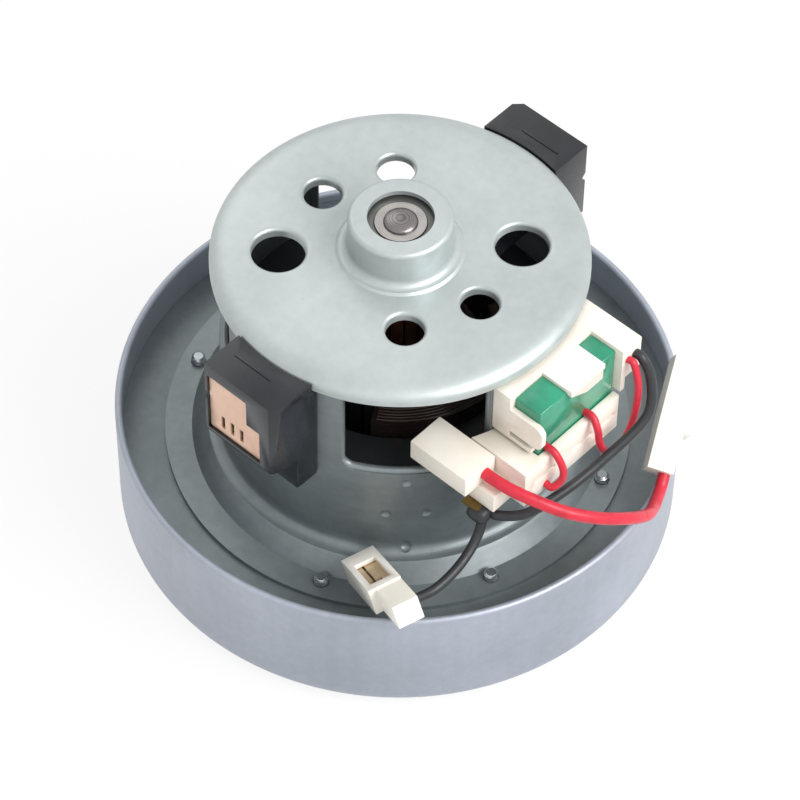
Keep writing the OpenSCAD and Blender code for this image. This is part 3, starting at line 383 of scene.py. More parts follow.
@dataclass(frozen=True)
class Sheet(Finish):
    """Plated or bare sheet metal with draw marks and a soft cloudiness.

    Attributes:
        roughness: Mean roughness.
        metallic: Share of bare metal in the look.
        draw: Stretch that lays the draw marks along the metal's flow.
        marks: Strength of the draw marks.
    """

    roughness: float = 0.4
    metallic: float = 0.7
    draw: Point = (260.0, 260.0, 9.0)
    marks: float = 1.0

    CLOUDS = 24.0
    MOTTLES = 420.0
    SPECKS = 1500.0
    RELIEF = 0.00006

    def make(self, s: Shader) -> bpy.types.Material:
        """Builds the material on an empty tree."""
        cloud = s.noise(self.CLOUDS, 3.0, 0.55)
        mottle = s.noise(self.MOTTLES, 3.0, 0.6)
        drawn = s.noise(1.0, 3.0, 0.55, self.draw)
        tone = s.fade(cloud * 0.62 + mottle * 0.2 + drawn * (0.18 * self.marks), 0.36, 0.66)
        specks = s.fade(s.noise(self.SPECKS, 1.0), 0.68, 0.76)
        base = s.mix(tone, tint(self.shade), tint(self.face))
        base = s.mix(specks * 0.25, base, tint(self.shade))
        rough = self.roughness + (cloud - 0.5) * 0.14
        rough = rough + (drawn - 0.5) * (0.16 * self.marks) + specks * 0.06
        normal = s.relief(mottle * 0.5 + drawn * (0.5 * self.marks), self.RELIEF, 0.35)
        return s.surface(Base_Color=base, Roughness=rough, Metallic=self.metallic, Normal=normal)


@dataclass(frozen=True)
class Moulding(Finish):
    """Moulded plastic, resin or pressed carbon with a fine skin.

    Attributes:
        roughness: Mean roughness.
        grain: Grains of the skin per metre.
        depth: Depth of the grain in metres.
        coat: Weight of a clear gloss.
    """

    roughness: float = 0.42
    grain: float = 2600.0
    depth: float = 0.00003
    coat: float = 0.0

    FLOWS = 70.0
    FLOW_STRETCH = (1.0, 1.0, 2.2)
    DUST = 900.0

    def make(self, s: Shader) -> bpy.types.Material:
        """Builds the material on an empty tree."""
        flow = s.noise(self.FLOWS, 3.0, 0.5, self.FLOW_STRETCH)
        skin = s.noise(self.grain, 2.0, 0.6)
        dust = s.fade(s.noise(self.DUST, 2.0), 0.6, 0.75)
        tone = s.fade(flow * 0.8 + skin * 0.2, 0.38, 0.64)
        base = s.mix(tone, tint(self.shade), tint(self.face))
        base = s.mix(dust * 0.12, base, tint(self.shade))
        rough = self.roughness + (flow - 0.5) * 0.12 + (skin - 0.5) * 0.1 + dust * 0.05
        normal = s.relief(skin, self.depth, 0.5)
        return s.surface(Base_Color=base, Roughness=rough, Normal=normal, Coat_Weight=self.coat,
                         Coat_Roughness=0.12)


@dataclass(frozen=True)
class Turned(Finish):
    """Turned or ground metal with fine tool lines round the axis.

    Attributes:
        roughness: Mean roughness.
        pitch: Distance between two tool lines in metres.
        rings: True where the lines are rings on a flat face.
    """

    roughness: float = 0.25
    pitch: float = 0.0002
    rings: bool = False

    CLOUDS = 160.0
    RELIEF = 0.000006

    def make(self, s: Shader) -> bpy.types.Material:
        """Builds the material on an empty tree."""
        tool = s.lines(self.pitch, self.rings)
        cloud = s.noise(self.CLOUDS, 3.0)
        tone = s.fade(tool * 0.35 + cloud * 0.65, 0.3, 0.7)
        base = s.mix(tone, tint(self.shade), tint(self.face))
        rough = self.roughness + (cloud - 0.5) * 0.12 + tool * 0.05
        return s.surface(Base_Color=base, Roughness=rough, Metallic=0.9,
                         Normal=s.relief(tool, self.RELIEF, 0.5))


@dataclass(frozen=True)
class Wound(Finish):
    """Enamelled copper wire, laid turn by turn.

    Attributes:
        pitch: Distance between two turns in metres.
    """

    pitch: float = 0.0007

    VARNISH = 300.0
    RELIEF = 0.0001

    def make(self, s: Shader) -> bpy.types.Material:
        """Builds the material on an empty tree."""
        turns = s.lines(self.pitch).most(s.lines(self.pitch, True))
        varnish = s.noise(self.VARNISH, 3.0, 0.6)
        tone = s.fade(turns * 0.6 + varnish * 0.4, 0.3, 0.8)
        base = s.mix(tone, tint(self.shade), tint(self.face))
        return s.surface(Base_Color=base, Roughness=0.3 + varnish * 0.25,
                         Metallic=s.fade(varnish, 0.4, 0.7, 0.2, 0.55),
                         Normal=s.relief(turns, self.RELIEF, 0.6), Coat_Weight=0.3,
                         Coat_Roughness=0.2)


@dataclass(frozen=True)
class Stacked(Finish):
    """A stack of punched steel sheets, seen at its edges.

    Attributes:
        sheet: Thickness of a sheet in metres.
    """

    sheet: float = 0.0005

    RUST = "5c4638"
    RUST_SPOTS = 180.0
    RELIEF = 0.00005

    def make(self, s: Shader) -> bpy.types.Material:
        """Builds the material on an empty tree."""
        edges = s.lines(self.sheet)
        rust = s.fade(s.noise(self.RUST_SPOTS, 4.0, 0.65), 0.55, 0.75)
        base = s.mix(s.fade(edges, 0.15, 0.6), tint(self.shade), tint(self.face))
        base = s.mix(rust * 0.35, base, tint(self.RUST))
        return s.surface(Base_Color=base, Roughness=0.45 + rust * 0.25, Metallic=0.75 - rust * 0.3,
                         Normal=s.relief(edges, self.RELIEF, 0.6))


@dataclass(frozen=True)
class Sheath(Finish):
    """Soft wire insulation with a slight sheen and fine drawing lines.

    Attributes:
        roughness: Mean roughness.
    """

    roughness: float = 0.4

    SCUFFS = 260.0
    GRAINS = 1900.0
    RIPPLES = 900.0
    RELIEF = 0.00004

    def make(self, s: Shader) -> bpy.types.Material:
        """Builds the material on an empty tree."""
        along = s.node("ShaderNodeAttribute", {"attribute_name": "along"}, output="Fac")
        scuff = s.fade(s.noise(self.SCUFFS, 3.0, 0.6), 0.5, 0.72)
        skin = s.noise(self.GRAINS, 2.0, 0.6)
        ripple = s.node("ShaderNodeTexNoise", {"noise_dimensions": "1D"}, {
            "W": along, "Scale": self.RIPPLES, "Detail": 2.0})
        base = s.mix(scuff * 0.5 + skin * 0.25, tint(self.face), tint(self.shade))
        rough = self.roughness + scuff * 0.15 + (ripple - 0.5) * 0.12
        return s.surface(Base_Color=base, Roughness=rough,
                         Normal=s.relief(skin * 0.5 + ripple * 0.5, self.RELIEF, 0.4))


class Finishes(Enum):
    """The finishes of the motor unit."""

    CASE = Sheet("zinc_case", "b4bac6", "9ba1ac", 0.42, 0.45)
    FRAME = Sheet("zinc_frame", "8f9799", "727a7c", 0.38, 0.5, (9.0, 9.0, 420.0))
    PLATE = Sheet("zinc_plate", "858d8f", "6a7274", 0.42, 0.5, (120.0, 120.0, 60.0))
    CAP = Sheet("zinc_cap", "c4cccb", "acb4b4", 0.38, 0.5, (90.0, 90.0, 40.0), 0.6)
    SCREW = Turned("turned_steel", "d4d8da", "8f969a", 0.24, 0.0003)
    GROUND = Turned("ground_steel", "8f8a8a", "6d6868", 0.24, 0.00012)
    RACE = Turned("ring_steel", "b9b5b1", "918d8a", 0.26, 0.00015, True)
    SHIELD = Sheet("bearing_shield", "7c7d7a", "636462", 0.38, 0.6, (500.0, 500.0, 500.0), 0.5)
    STEEL_WIRE = Turned("wire_steel", "aeb4b8", "7f8589", 0.3, 0.0002)
    COPPER_PLATE = Sheet("copper_plate", "f3d3bd", "e2b9a0", 0.36, 0.25, (40.0, 500.0, 30.0), 0.8)
    BRASS = Sheet("stamped_brass", "8d7440", "65522c", 0.36, 0.8, (60.0, 400.0, 60.0), 0.8)
    TINNED = Sheet("tinned_brass", "e6d2b2", "c4a678", 0.4, 0.3, (60.0, 400.0, 60.0), 0.8)
    COMMUTATOR = Turned("bar_copper", "5a3a29", "3c261b", 0.34, 0.00018)
    ALUMINIUM = Sheet("drawn_aluminium", "c3c9cc", "a4abaf", 0.36, 0.85, (200.0, 200.0, 60.0), 0.7)
    LAMINATION = Stacked("core_laminations", "787d80", "3f4346")
    WINDING = Wound("enamelled_wire", "2c1a14", "140c09")
    STRAND = Wound("enamelled_strand", "341d15", "190e0a", 0.002)
    BLACK_MOULDING = Moulding("black_moulding", "1f2228", "16181d", 0.24, 1700.0, 0.00003, 0.08)
    DIFFUSER = Moulding("diffuser_moulding", "303338", "242629", 0.48)
    CREAM_MOULDING = Moulding("cream_moulding", "fbf6ec", "efe6d8", 0.36, 2200.0, 0.00002)
    WHITE_MOULDING = Moulding("white_moulding", "fcf9f2", "f3eee2", 0.34, 2200.0, 0.00002)
    GREEN_RESIN = Moulding("green_resin", "1f9a76", "12805f", 0.22, 700.0, 0.00005, 0.5)
    NYLON = Moulding("moulded_nylon", "ddd5c0", "c9bfa6", 0.45)
    HUB_RESIN = Moulding("pressed_resin", "4d3426", "38241a", 0.5)
    CARBON = Moulding("pressed_carbon", "2d2e31", "1d1e20", 0.6, 1100.0, 0.00008)
    RED_SHEATH = Sheath("red_sheath", "d8293f", "a91428", 0.36)
    BLACK_SHEATH = Sheath("black_sheath", "2b2d31", "1b1c1f", 0.4)

    def material(self) -> bpy.types.Material:
        """Gives the material of the finish."""
        return self.value.material()


# Shapes


def metres(points: Iterable[Sequence[float]]) -> list[Vector]:
    """Turns points in millimetres into vectors in metres."""
    return [Vector(p) * MM for p in points]


def smooth_route(route: Sequence[Vector], steps: int) -> list[Vector]:
    """Draws the smooth curve that passes through all the points of a route.

    Args:
        route: The points.
        steps: Pieces of curve from one point to the next.

    Returns:
        Points on the curve, both ends included.
    """
    curve: list[Vector] = []
    last = len(route) - 1
    for i in range(last):
        a, b = route[max(i - 1, 0)], route[i]
        c, d = route[i + 1], route[min(i + 2, last)]
        for k in range(steps):
            t = k / steps
            curve.append(0.5 * (2 * b + (c - a) * t + (2 * a - 5 * b + 4 * c - d) * t ** 2
                                + (3 * b - a - 3 * c + d) * t ** 3))
    return curve + [route[last].copy()]


def polar(r: float, angle: float, z: float) -> Vector:
    """Gives the point at a radius and an angle in radians round the axis, at a height."""
    return Vector((r * math.cos(angle), r * math.sin(angle), z))


def ring_faces(rings: int, sides: int) -> list[tuple[int, ...]]:
    """Lists the faces between rings of points that lie one after another.

    Args:
        rings: Number of rings.
        sides: Points in each ring.

    Returns:
        Rows of four corner numbers.
    """
    faces: list[tuple[int, ...]] = []
    for near in range(0, (rings - 1) * sides, sides):
        for k in range(sides):
            after = (k + 1) % sides
            faces.append((near + k, near + after, near + sides + after, near + sides + k))
    return faces


def length_of(points: Sequence[Vector]) -> float:
    """Measures a line through points."""
    return sum((b - a).length for a, b in zip(points, points[1:]))


def new_object(name: str, data: bpy.types.ID) -> bpy.types.Object:
    """Puts a mesh, camera or light into the scene as an object at the origin."""
    made = bpy.data.objects.new(name, data)
    bpy.context.scene.collection.objects.link(made)
    return made


def mesh_of(name: str, points: Sequence[Vector],
            faces: Sequence[Sequence[int]]) -> bpy.types.Object:
    """Makes an object from points and faces, with its normals outwards.

    Args:
        name: Name of the object.
        points: The corners.
        faces: Rows of corner numbers.

    Returns:
        The object.
    """
    mesh = bpy.data.meshes.new(name)
    mesh.from_pydata([tuple(p) for p in points], [], [list(f) for f in faces])
    form = bmesh.new()
    form.from_mesh(mesh)
    bmesh.ops.remove_doubles(form, verts=form.verts, dist=SAME_POINT)
    bmesh.ops.recalc_face_normals(form, faces=form.faces)
    form.to_mesh(mesh)
    form.free()
    return new_object(name, mesh)


def polylines(name: str, lines: Sequence[Sequence[Vector]],
              closed: bool = False) -> bpy.types.Object:
    """Makes an object of loose edges, with the distance along each line in an attribute.

    Args:
        name: Name of the object.
        lines: Rows of points.
        closed: True to join each line's end to its start.

    Returns:
        The object.
    """
    points: list[Vector] = []
    edges: list[tuple[int, int]] = []
    along: list[float] = []
    for line in lines:
        start = len(points)
        run = 0.0
        for i, p in enumerate(line):
            run += (p - line[i - 1]).length if i else 0.0
            points.append(p)
            along.append(run)
            if i:
                edges.append((start + i - 1, start + i))
        if closed:
            edges.append((len(points) - 1, start))
    mesh = bpy.data.meshes.new(name)
    mesh.from_pydata([tuple(p) for p in points], edges, [])
    mesh.attributes.new("along", "FLOAT", "POINT").data.foreach_set("value", along)
    return new_object(name, mesh)


def soften_shading(mesh: bpy.types.Mesh, angle: float = 32.0) -> None:
    """Shades a mesh smooth, with edges kept sharp above an angle in degrees."""
    mesh.shade_smooth()
    mesh.set_sharp_from_angle(angle=math.radians(angle))


def plain(source: bpy.types.Object, name: str) -> bpy.types.Object:
    """Turns an object with modifiers into a plain mesh.

    Args:
        source: The object, which is removed.
        name: Name of the new object.

    Returns:
        The new object.
    """
    graph = bpy.context.evaluated_depsgraph_get()
    mesh = bpy.data.meshes.new_from_object(
        source.evaluated_get(graph), preserve_all_data_layers=True, depsgraph=graph)
    bpy.data.objects.remove(source)
    mesh.name = name
    return new_object(name, mesh)


def rounded(node: bpy.types.Object, name: str, width: float, segments: int = 2) -> bpy.types.Object:
    """Copies a solid with its edges rounded.

    Args:
        node: The solid.
        name: Name of the copy.
        width: Width of the rounding in metres.
        segments: Faces across the rounding.

    Returns:
        The copy.
    """
    mesh = node.data.copy()
    form = bmesh.new()
    form.from_mesh(mesh)
    bmesh.ops.remove_doubles(form, verts=form.verts, dist=WELD)
    bmesh.ops.dissolve_limit(form, angle_limit=math.radians(FLAT_ANGLE), verts=form.verts,
                             edges=form.edges)
    form.to_mesh(mesh)
    form.free()
    for layer in [a.name for a in mesh.attributes if a.name == "custom_normal"]:
        mesh.attributes.remove(mesh.attributes[layer])
    mesh.materials.clear()
    copy = new_object(name + "_base", mesh)
    edge = copy.modifiers.new("edges", "BEVEL")
    edge.width = width
    edge.segments = segments
    edge.limit_method = "ANGLE"
    edge.angle_limit = math.radians(EDGE_ANGLE)
    made = plain(copy, name)
    soften_shading(made.data, ROUND_SHADE)
    return made


class FormTree:
    """A Geometry Nodes tree with named inputs, which ends in a plain dressed mesh."""

    def __init__(self, name: str) -> None:
        """Starts a tree with a geometry and a finish as inputs."""
        self.group = bpy.data.node_groups.new(name, "GeometryNodeTree")
        face = self.group.interface
        face.new_socket("Geometry", in_out="INPUT", socket_type="NodeSocketGeometry")
        face.new_socket("Finish", in_out="INPUT", socket_type="NodeSocketMaterial")
        face.new_socket("Geometry", in_out="OUTPUT", socket_type="NodeSocketGeometry")
        self.entry = self.group.nodes.new("NodeGroupInput")

    def size(self, name: str, kind: str) -> bpy.types.NodeSocket:
        """Adds a named input and gives its socket."""
        self.group.interface.new_socket(name, in_out="INPUT", socket_type=kind)
        return self.entry.outputs[name]

    def node(self, kind: str, settings: Mapping[str, Any] | None = None,
             inputs: Mapping[int | str, Any] | None = None,
             output: int | str = 0) -> bpy.types.NodeSocket:
        """Adds a node and gives one of its outputs."""
        return add_node(self.group, kind, settings, inputs).outputs[output]

    def close(self, geometry: bpy.types.NodeSocket) -> None:
        """Ends the tree: instances are made real and given the finish."""
        real = self.node("GeometryNodeRealizeInstances", inputs={"Geometry": geometry})
        dressed = self.node("GeometryNodeSetMaterial", inputs={
            "Geometry": real, "Material": self.entry.outputs["Finish"]})
        out = self.group.nodes.new("NodeGroupOutput")
        self.group.links.new(dressed, out.inputs["Geometry"])

    def run(self, source: bpy.types.Object, name: str, **values: Any) -> bpy.types.Object:
        """Runs the tree on an object and gives a plain mesh.

        Args:
            source: The object, which is removed.
            name: Name of the result.
            values: The tree's inputs by name.

        Returns:
            The result.
        """
        step = source.modifiers.new("form", "NODES")
        step.node_group = self.group
        for item in self.group.interface.items_tree:
            if item.in_out == "INPUT" and item.name in values:
                step[item.identifier] = values[item.name]
        return plain(source, name)


class Forms:
    """The Geometry Nodes trees that the pieces share."""

    def __init__(self) -> None:
        """Builds the trees."""
        self.sweep = self._sweep()
        self.repeat = self._repeat()

    @staticmethod
    def _sweep() -> FormTree:
        """Builds the tree that lays a round wire along lines."""
        tree = FormTree("wire_along_lines")
        radius = tree.size("Radius", "NodeSocketFloat")
        sides = tree.size("Sides", "NodeSocketInt")
        line = tree.node("GeometryNodeMeshToCurve", inputs={0: tree.entry.outputs["Geometry"]})
        section = tree.node("GeometryNodeCurvePrimitiveCircle", inputs={
            "Resolution": sides, "Radius": radius})
        wire = tree.node("GeometryNodeCurveToMesh", inputs={
            "Curve": line, "Profile Curve": section, "Fill Caps": True})
        tree.close(tree.node("GeometryNodeSetShadeSmooth", inputs={"Geometry": wire}))
        return tree

    @staticmethod
    def _repeat() -> FormTree:
        """Builds the tree that sets one piece at each point, turned about Z by its attribute."""
        tree = FormTree("piece_at_points")
        piece = tree.size("Piece", "NodeSocketObject")
        shape = tree.node("GeometryNodeObjectInfo", {"transform_space": "ORIGINAL"}, {
            "Object": piece}, "Geometry")
        turn = tree.node("GeometryNodeInputNamedAttribute", {"data_type": "FLOAT"}, {
            "Name": "turn"})
        angles = tree.node("ShaderNodeCombineXYZ", inputs={"Z": turn})
        rotation = tree.node("FunctionNodeEulerToRotation", inputs={0: angles})
        set_out = tree.node("GeometryNodeInstanceOnPoints", inputs={
            "Points": tree.entry.outputs["Geometry"], "Instance": shape, "Rotation": rotation})
        tree.close(set_out)
        return tree

    def wire(self, name: str, lines: Sequence[Sequence[Vector]], radius: float, finish: Finishes,
             sides: int = 16, closed: bool = False) -> bpy.types.Object:
        """Lays a round wire along lines.

        Args:
            name: Name of the piece.
            lines: Rows of points.
            radius: Radius of the wire.
            finish: Its finish.
            sides: Faces round the wire.
            closed: True for endless loops.

        Returns:
            The piece, a plain mesh.
        """
        source = polylines(name + "_line", lines, closed)
        return self.sweep.run(source, name, Radius=radius, Sides=sides, Finish=finish.material())

    def set_out(self, name: str, piece: bpy.types.Object, places: Sequence[Vector],
                turns: Sequence[float], finish: Finishes) -> bpy.types.Object:
        """Sets a piece at several places.

        Args:
            name: Name of the result.
            piece: The piece, which is removed afterwards.
            places: One point for each copy.
            turns: One angle about Z for each copy, in degrees.
            finish: The finish of the copies.

        Returns:
            The result, a plain mesh.
        """
        mesh = bpy.data.meshes.new(name)
        mesh.from_pydata([tuple(p) for p in places], [], [])
        mesh.attributes.new("turn", "FLOAT", "POINT").data.foreach_set(
            "value", [math.radians(t) for t in turns])
        made = self.repeat.run(new_object(name + "_points", mesh), name, Piece=piece,
                               Finish=finish.material())
        bpy.data.objects.remove(piece)
        return made


# Sub-assemblies


@dataclass
class SubAssembly:
    """Pieces that are built and dressed together.

    Attributes:
        nodes: The solids by name.
        forms: The shared Geometry Nodes trees.
    """

    nodes: Mapping[str, bpy.types.Object]
    forms: Forms

    def dress(self, finish: Finishes, *names: str) -> None:
        """Gives solids that stay in view a finish."""
        for name in names:
            solid = self.nodes[name]
            if not solid.material_slots:
                solid.data.materials.append(None)
            for place in solid.material_slots:
                place.material = finish.material()
            LOG.info("dressed %s", name)

    def add(self, piece: bpy.types.Object, slot: str, *replaced: str,
            body: str = "stator") -> None:
        """Lets a new piece ride on a body.

        Args:
            piece: The piece.
            slot: The record's material slot of its finish.
            replaced: Solids that it stands for.
            body: The body that it moves with.
        """
        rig.ride(piece, body)
        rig.slot(piece, slot)
        if replaced:
            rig.replaces(piece, *replaced)
        LOG.info("made %s, %d faces", piece.name, len(piece.data.polygons))

    def moulded(self, name: str, finish: Finishes, slot: str, width: float,
                segments: int = 2) -> None:
        """Replaces a solid with a copy that has rounded edges.

        Args:
            name: The solid.
            finish: Its finish.
            slot: The record's material slot.
            width: Width of the rounding.
            segments: Faces across the rounding.
        """
        piece = rounded(self.nodes[name], name + "_body", width, segments)
        piece.data.materials.append(finish.material())
        self.add(piece, slot, name)


@dataclass
class Leads(SubAssembly):
    """The two loose leads with their plugs, and the jumpers on the terminal block."""

    black_d: float = 2.4 * MM
    red_d: float = 3.0 * MM
    jumper_d: float = 1.8 * MM
    hidden_end: float = 3.0 * MM
    inset: float = 0.02 * MM
    plug_edge: float = 0.15 * MM
    path_steps: int = 3
    sides: int = 20

    RED = [(-22, -46.5, 63.4), (-22, -49.5, 63.4), (-21.2, -54, 62.9), (-19, -59.5, 61.6),
           (-15.2, -65.2, 59), (-9, -69.8, 55), (-1, -72.4, 49.6), (6.5, -71.8, 43),
           (13, -68.9, 37.2), (19.34, -65.75, 34.87), (22.56, -64.17, 36.66)]
    BLACK = [(-23.7, -47.7, 50.6), (-23.7, -47.7, 48.2), (-25.4, -48.2, 45.4), (-29.6, -48.9, 42.6),
             (-35.2, -49.4, 41.2), (-41.32, -49.13, 40.50), (-45.97, -47.40, 39.88)]
    BLACK_JUMPER = [(-22.35, -49.4, 52.3), (-22.35, -51.4, 52.3), (-18, -56, 53), (-9, -59, 55),
                    (2, -61, 58), (13, -63, 63), (17, -62.5, 67), (19, -60, 73), (19, -57.2, 77),
                    (19, -55.2, 77)]
    RED_JUMPERS = [
        [(-9, -53.1, 67.1), (-9, -55.6, 67.1), (-8.8, -57.7, 64.6), (-8.4, -58.4, 61),
         (-9, -58.1, 58.2), (-10.6, -57, 56.6), (-10.6, -55.2, 56.6)],
        [(4.6, -53.1, 67.1), (4.6, -55.6, 67.1), (4, -57.7, 64.8), (4.2, -58.6, 60),
         (6.6, -59.4, 55.8), (10.4, -59.8, 55.2), (13.6, -59.8, 59), (15.4, -59.6, 65.2),
         (16.2, -58.8, 72), (16.4, -57, 77), (16.4, -55.2, 77)]]

    def _entered(self, route: Sequence[Point], steps: int = 6) -> list[Vector]:
        """Lengthens a route into the pieces that hold its two ends, and smooths it."""
        line = metres(route)
        first = (line[0] - line[1]).normalized() * self.hidden_end
        last = (line[-1] - line[-2]).normalized() * self.hidden_end
        return [line[0] + first] + smooth_route(line, steps) + [line[-1] + last]

    def build_leads(self) -> None:
        for colour, route, wide, finish, plug in (
                ("red", self.RED, self.red_d, Finishes.RED_SHEATH,
                 ["right_plug_body", "right_contact"]),
                ("black", self.BLACK, self.black_d, Finishes.BLACK_SHEATH,
                 ["front_plug_body", "front_contact"])):
            line = self._entered(route, self.path_steps)
            piece = self.forms.wire(f"{colour}_lead_wire", [self._entered(route)],
                                    wide / 2 - self.inset, finish, self.sides)
            self.add(piece, f"{colour}_wire", f"{colour}_lead")
            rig.cord(piece, exit=line[0], length=length_of(line), diameter=wide, far_end="connector",
                    stiffness="medium", lay="loose", path=line, with_pieces=plug)

    def build_jumpers(self) -> None:
        """Lays the jumpers of the terminal block."""
        black = self.forms.wire("black_jumper_wire", [self._entered(self.BLACK_JUMPER)],
                                self.black_d / 2, Finishes.BLACK_SHEATH, self.sides)
        self.add(black, "black_wire", "black_jumper")
        red = self.forms.wire("red_jumper_wires", [self._entered(r) for r in self.RED_JUMPERS],
                              self.jumper_d / 2, Finishes.RED_SHEATH)
        self.add(red, "red_wire", "red_jumpers")

    def build_plugs(self) -> None:
        """Rounds the plugs' edges and dresses their contacts."""
        for name in ("front_plug", "right_plug"):
            self.moulded(name, Finishes.WHITE_MOULDING, "plug_plastic", self.plug_edge)
        self.dress(Finishes.TINNED, "front_contact", "right_contact")

    def build(self) -> None:
        """Builds the plugs, the leads that carry them and the jumpers."""
        self.build_plugs()
        self.build_leads()
        self.build_jumpers()


@dataclass
class FanHousing(SubAssembly):
    """The fan case with its diffuser, the bearing plate and the flange screws."""

    screw_at: float = 52.0 * MM
    screw_r: float = 1.75 * MM
    head_r: float = 3.0 * MM
    head_h: float = 1.8 * MM
    foot_z: float = 13.2 * MM
    end_z: float = 25.2 * MM
    pitch: float = 0.6 * MM
    thread: float = 0.16 * MM
    thread_gap: float = 0.2 * MM
    tip_h: float = 0.5 * MM
    tip_in: float = 0.6 * MM
    rows_a_turn: int = 5
    sides: int = 20

    ANGLES = (22.5, 67.5, 112.5, 202.5, 247.5, 292.5)
    # Steps inwards and upwards from the head's foot, in millimetres
    HEAD_ROWS = ((0.9, 0.0), (0.3, 0.25), (0.0, 0.7))

    def _screw(self) -> bpy.types.Object:
        """Shapes one screw: a low head below and a threaded end above."""
        neck_z = self.foot_z + self.head_h
        rows: list[Point] = [(0.0, self.foot_z, 0.0)]
        for inwards, rise in self.HEAD_ROWS:
            rows.append((self.head_r - inwards * MM, self.foot_z + rise * MM, 0.0))
        rows += [(self.head_r, neck_z, 0.0), (self.screw_r, neck_z, 0.0)]
        start = neck_z + self.thread_gap
        length = self.end_z - self.tip_h - start
        count = int(length / (self.pitch / self.rows_a_turn))
        for i in range(count + 1):
            rows.append((self.screw_r, start + length * i / count, self.thread))
        rows += [(self.screw_r - self.tip_in, self.end_z, 0.0), (0.0, self.end_z, 0.0)]
        points: list[Vector] = []
        for r, z, depth in rows:
            for k in range(self.sides):
                turn = (z / self.pitch - k / self.sides) % 1.0
                at = r - depth * (1 - abs(2 * turn - 1))
                points.append(polar(at, math.tau * k / self.sides, z))
        faces = ring_faces(len(rows), self.sides)
        return mesh_of("screw_shape", points, faces)

    def build(self) -> None:
        """Dresses the sheets and sets the screws out."""
        self.dress(Finishes.CASE, "fan_case")
        self.dress(Finishes.DIFFUSER, "diffuser")
        self.dress(Finishes.PLATE, "bearing_plate")
        places = [polar(self.screw_at, math.radians(a), 0.0) for a in self.ANGLES]
        screws = self.forms.set_out("flange_screws", self._screw(), places,
                                    [a * 3 for a in self.ANGLES], Finishes.SCREW)
        soften_shading(screws.data)
        self.add(screws, "screw_steel", "frame_screws")


@dataclass
class MotorFrame(SubAssembly):
    """The drawn frame with its window lips, the field core and the field coils."""

    wall_r: float = 41.1 * MM
    window_half: float = 16.9 * MM
    window_z0: float = 55.7 * MM
    window_z1: float = 82.6 * MM
    corner_r: float = 3.0 * MM
    lip_r: float = 1.0 * MM
    lip_step: float = 1.5 * MM
    lip_sides: int = 12
    corner_steps: int = 6
    strand_r: float = 0.38 * MM
    strand_pitch: float = 0.82 * MM
    strand_sides: int = 8
    strand_steps: int = 32
    head_top: float = 58.15 * MM
    head_r0: float = 22.5 * MM
    head_r1: float = 28.5 * MM
    head_half: float = 58.0
    top_strands: int = 8
    side_strands: int = 5

    WINDOWS = (48.0, 132.0, 228.0, -48.0)

    def _lip(self) -> bpy.types.Object:
        """Shapes the drawn-in lip of the window at angle zero."""
        half, low, high, r = self.window_half, self.window_z0, self.window_z1, self.corner_r
        outline: list[tuple[float, float]] = []
        for y, z, start in ((half - r, low + r, -90), (half - r, high - r, 0),
                            (r - half, high - r, 90), (r - half, low + r, 180)):
            for k in range(self.corner_steps + 1):
                a = math.radians(start + 90 / self.corner_steps * k)
                outline.append((y + r * math.cos(a), z + r * math.sin(a)))
        dense: list[Vector] = []
        for (y0, z0), (y1, z1) in zip(outline, outline[1:] + outline[:1]):
            parts = max(1, int(math.hypot(y1 - y0, z1 - z0) / self.lip_step))
            for k in range(parts):
                y, z = y0 + (y1 - y0) * k / parts, z0 + (z1 - z0) * k / parts
                dense.append(Vector((math.sqrt(self.wall_r ** 2 - y * y), y, z)))
        return self.forms.wire("lip_shape", [dense], self.lip_r, Finishes.FRAME, self.lip_sides,
                               True)

    def _strands(self, turn: float) -> list[list[Vector]]:
        """Gives the outer turns of a field coil's upper head, on the side at an angle."""
        top, r0, r1, half = self.head_top, self.head_r0, self.head_r1, self.head_half
        across, steps = self.top_strands - 1, self.strand_steps
        spots = [(r0 + (r1 - r0) * i / across, top) for i in range(self.top_strands)]
        for r in (r1, r0):
            spots += [(r, top - self.strand_pitch * k) for k in range(1, self.side_strands + 1)]
        angles = [math.radians(turn - half + half * i / (steps // 2)) for i in range(steps + 1)]
        lines = [[polar(r, a, z) for a in angles] for r, z in spots]
        return lines

    def build(self) -> None:
        """Dresses the frame and the field, and adds the lips and the coils' outer turns."""
        self.dress(Finishes.FRAME, "motor_frame")
        self.dress(Finishes.LAMINATION, "field_core")
        self.dress(Finishes.WINDING, "field_coil_front", "field_coil_back")
        lips = self.forms.set_out("window_lips", self._lip(), [Vector()] * len(self.WINDOWS),
                                  self.WINDOWS, Finishes.FRAME)
        self.add(lips, "frame_zinc")
        turns = self.forms.wire("field_coil_turns", self._strands(90) + self._strands(270),
                                self.strand_r, Finishes.STRAND, self.strand_sides)
        self.add(turns, "winding")


@dataclass
class EndCap(SubAssembly):
    """The end cap and the upper bearing, with the bearing below."""

    def build(self) -> None:
        """Dresses the cap and both bearings."""
        self.dress(Finishes.CAP, "end_cap")
        self.dress(Finishes.STEEL_WIRE, "wave_washer")
        for end in ("upper", "lower"):
            self.dress(Finishes.RACE, f"{end}_bearing_outer", f"{end}_bearing_inner")
            self.dress(Finishes.SHIELD, f"{end}_bearing_shields")
            self.dress(Finishes.GROUND, f"{end}_bearing_balls")
            self.dress(Finishes.NYLON, f"{end}_bearing_cage")


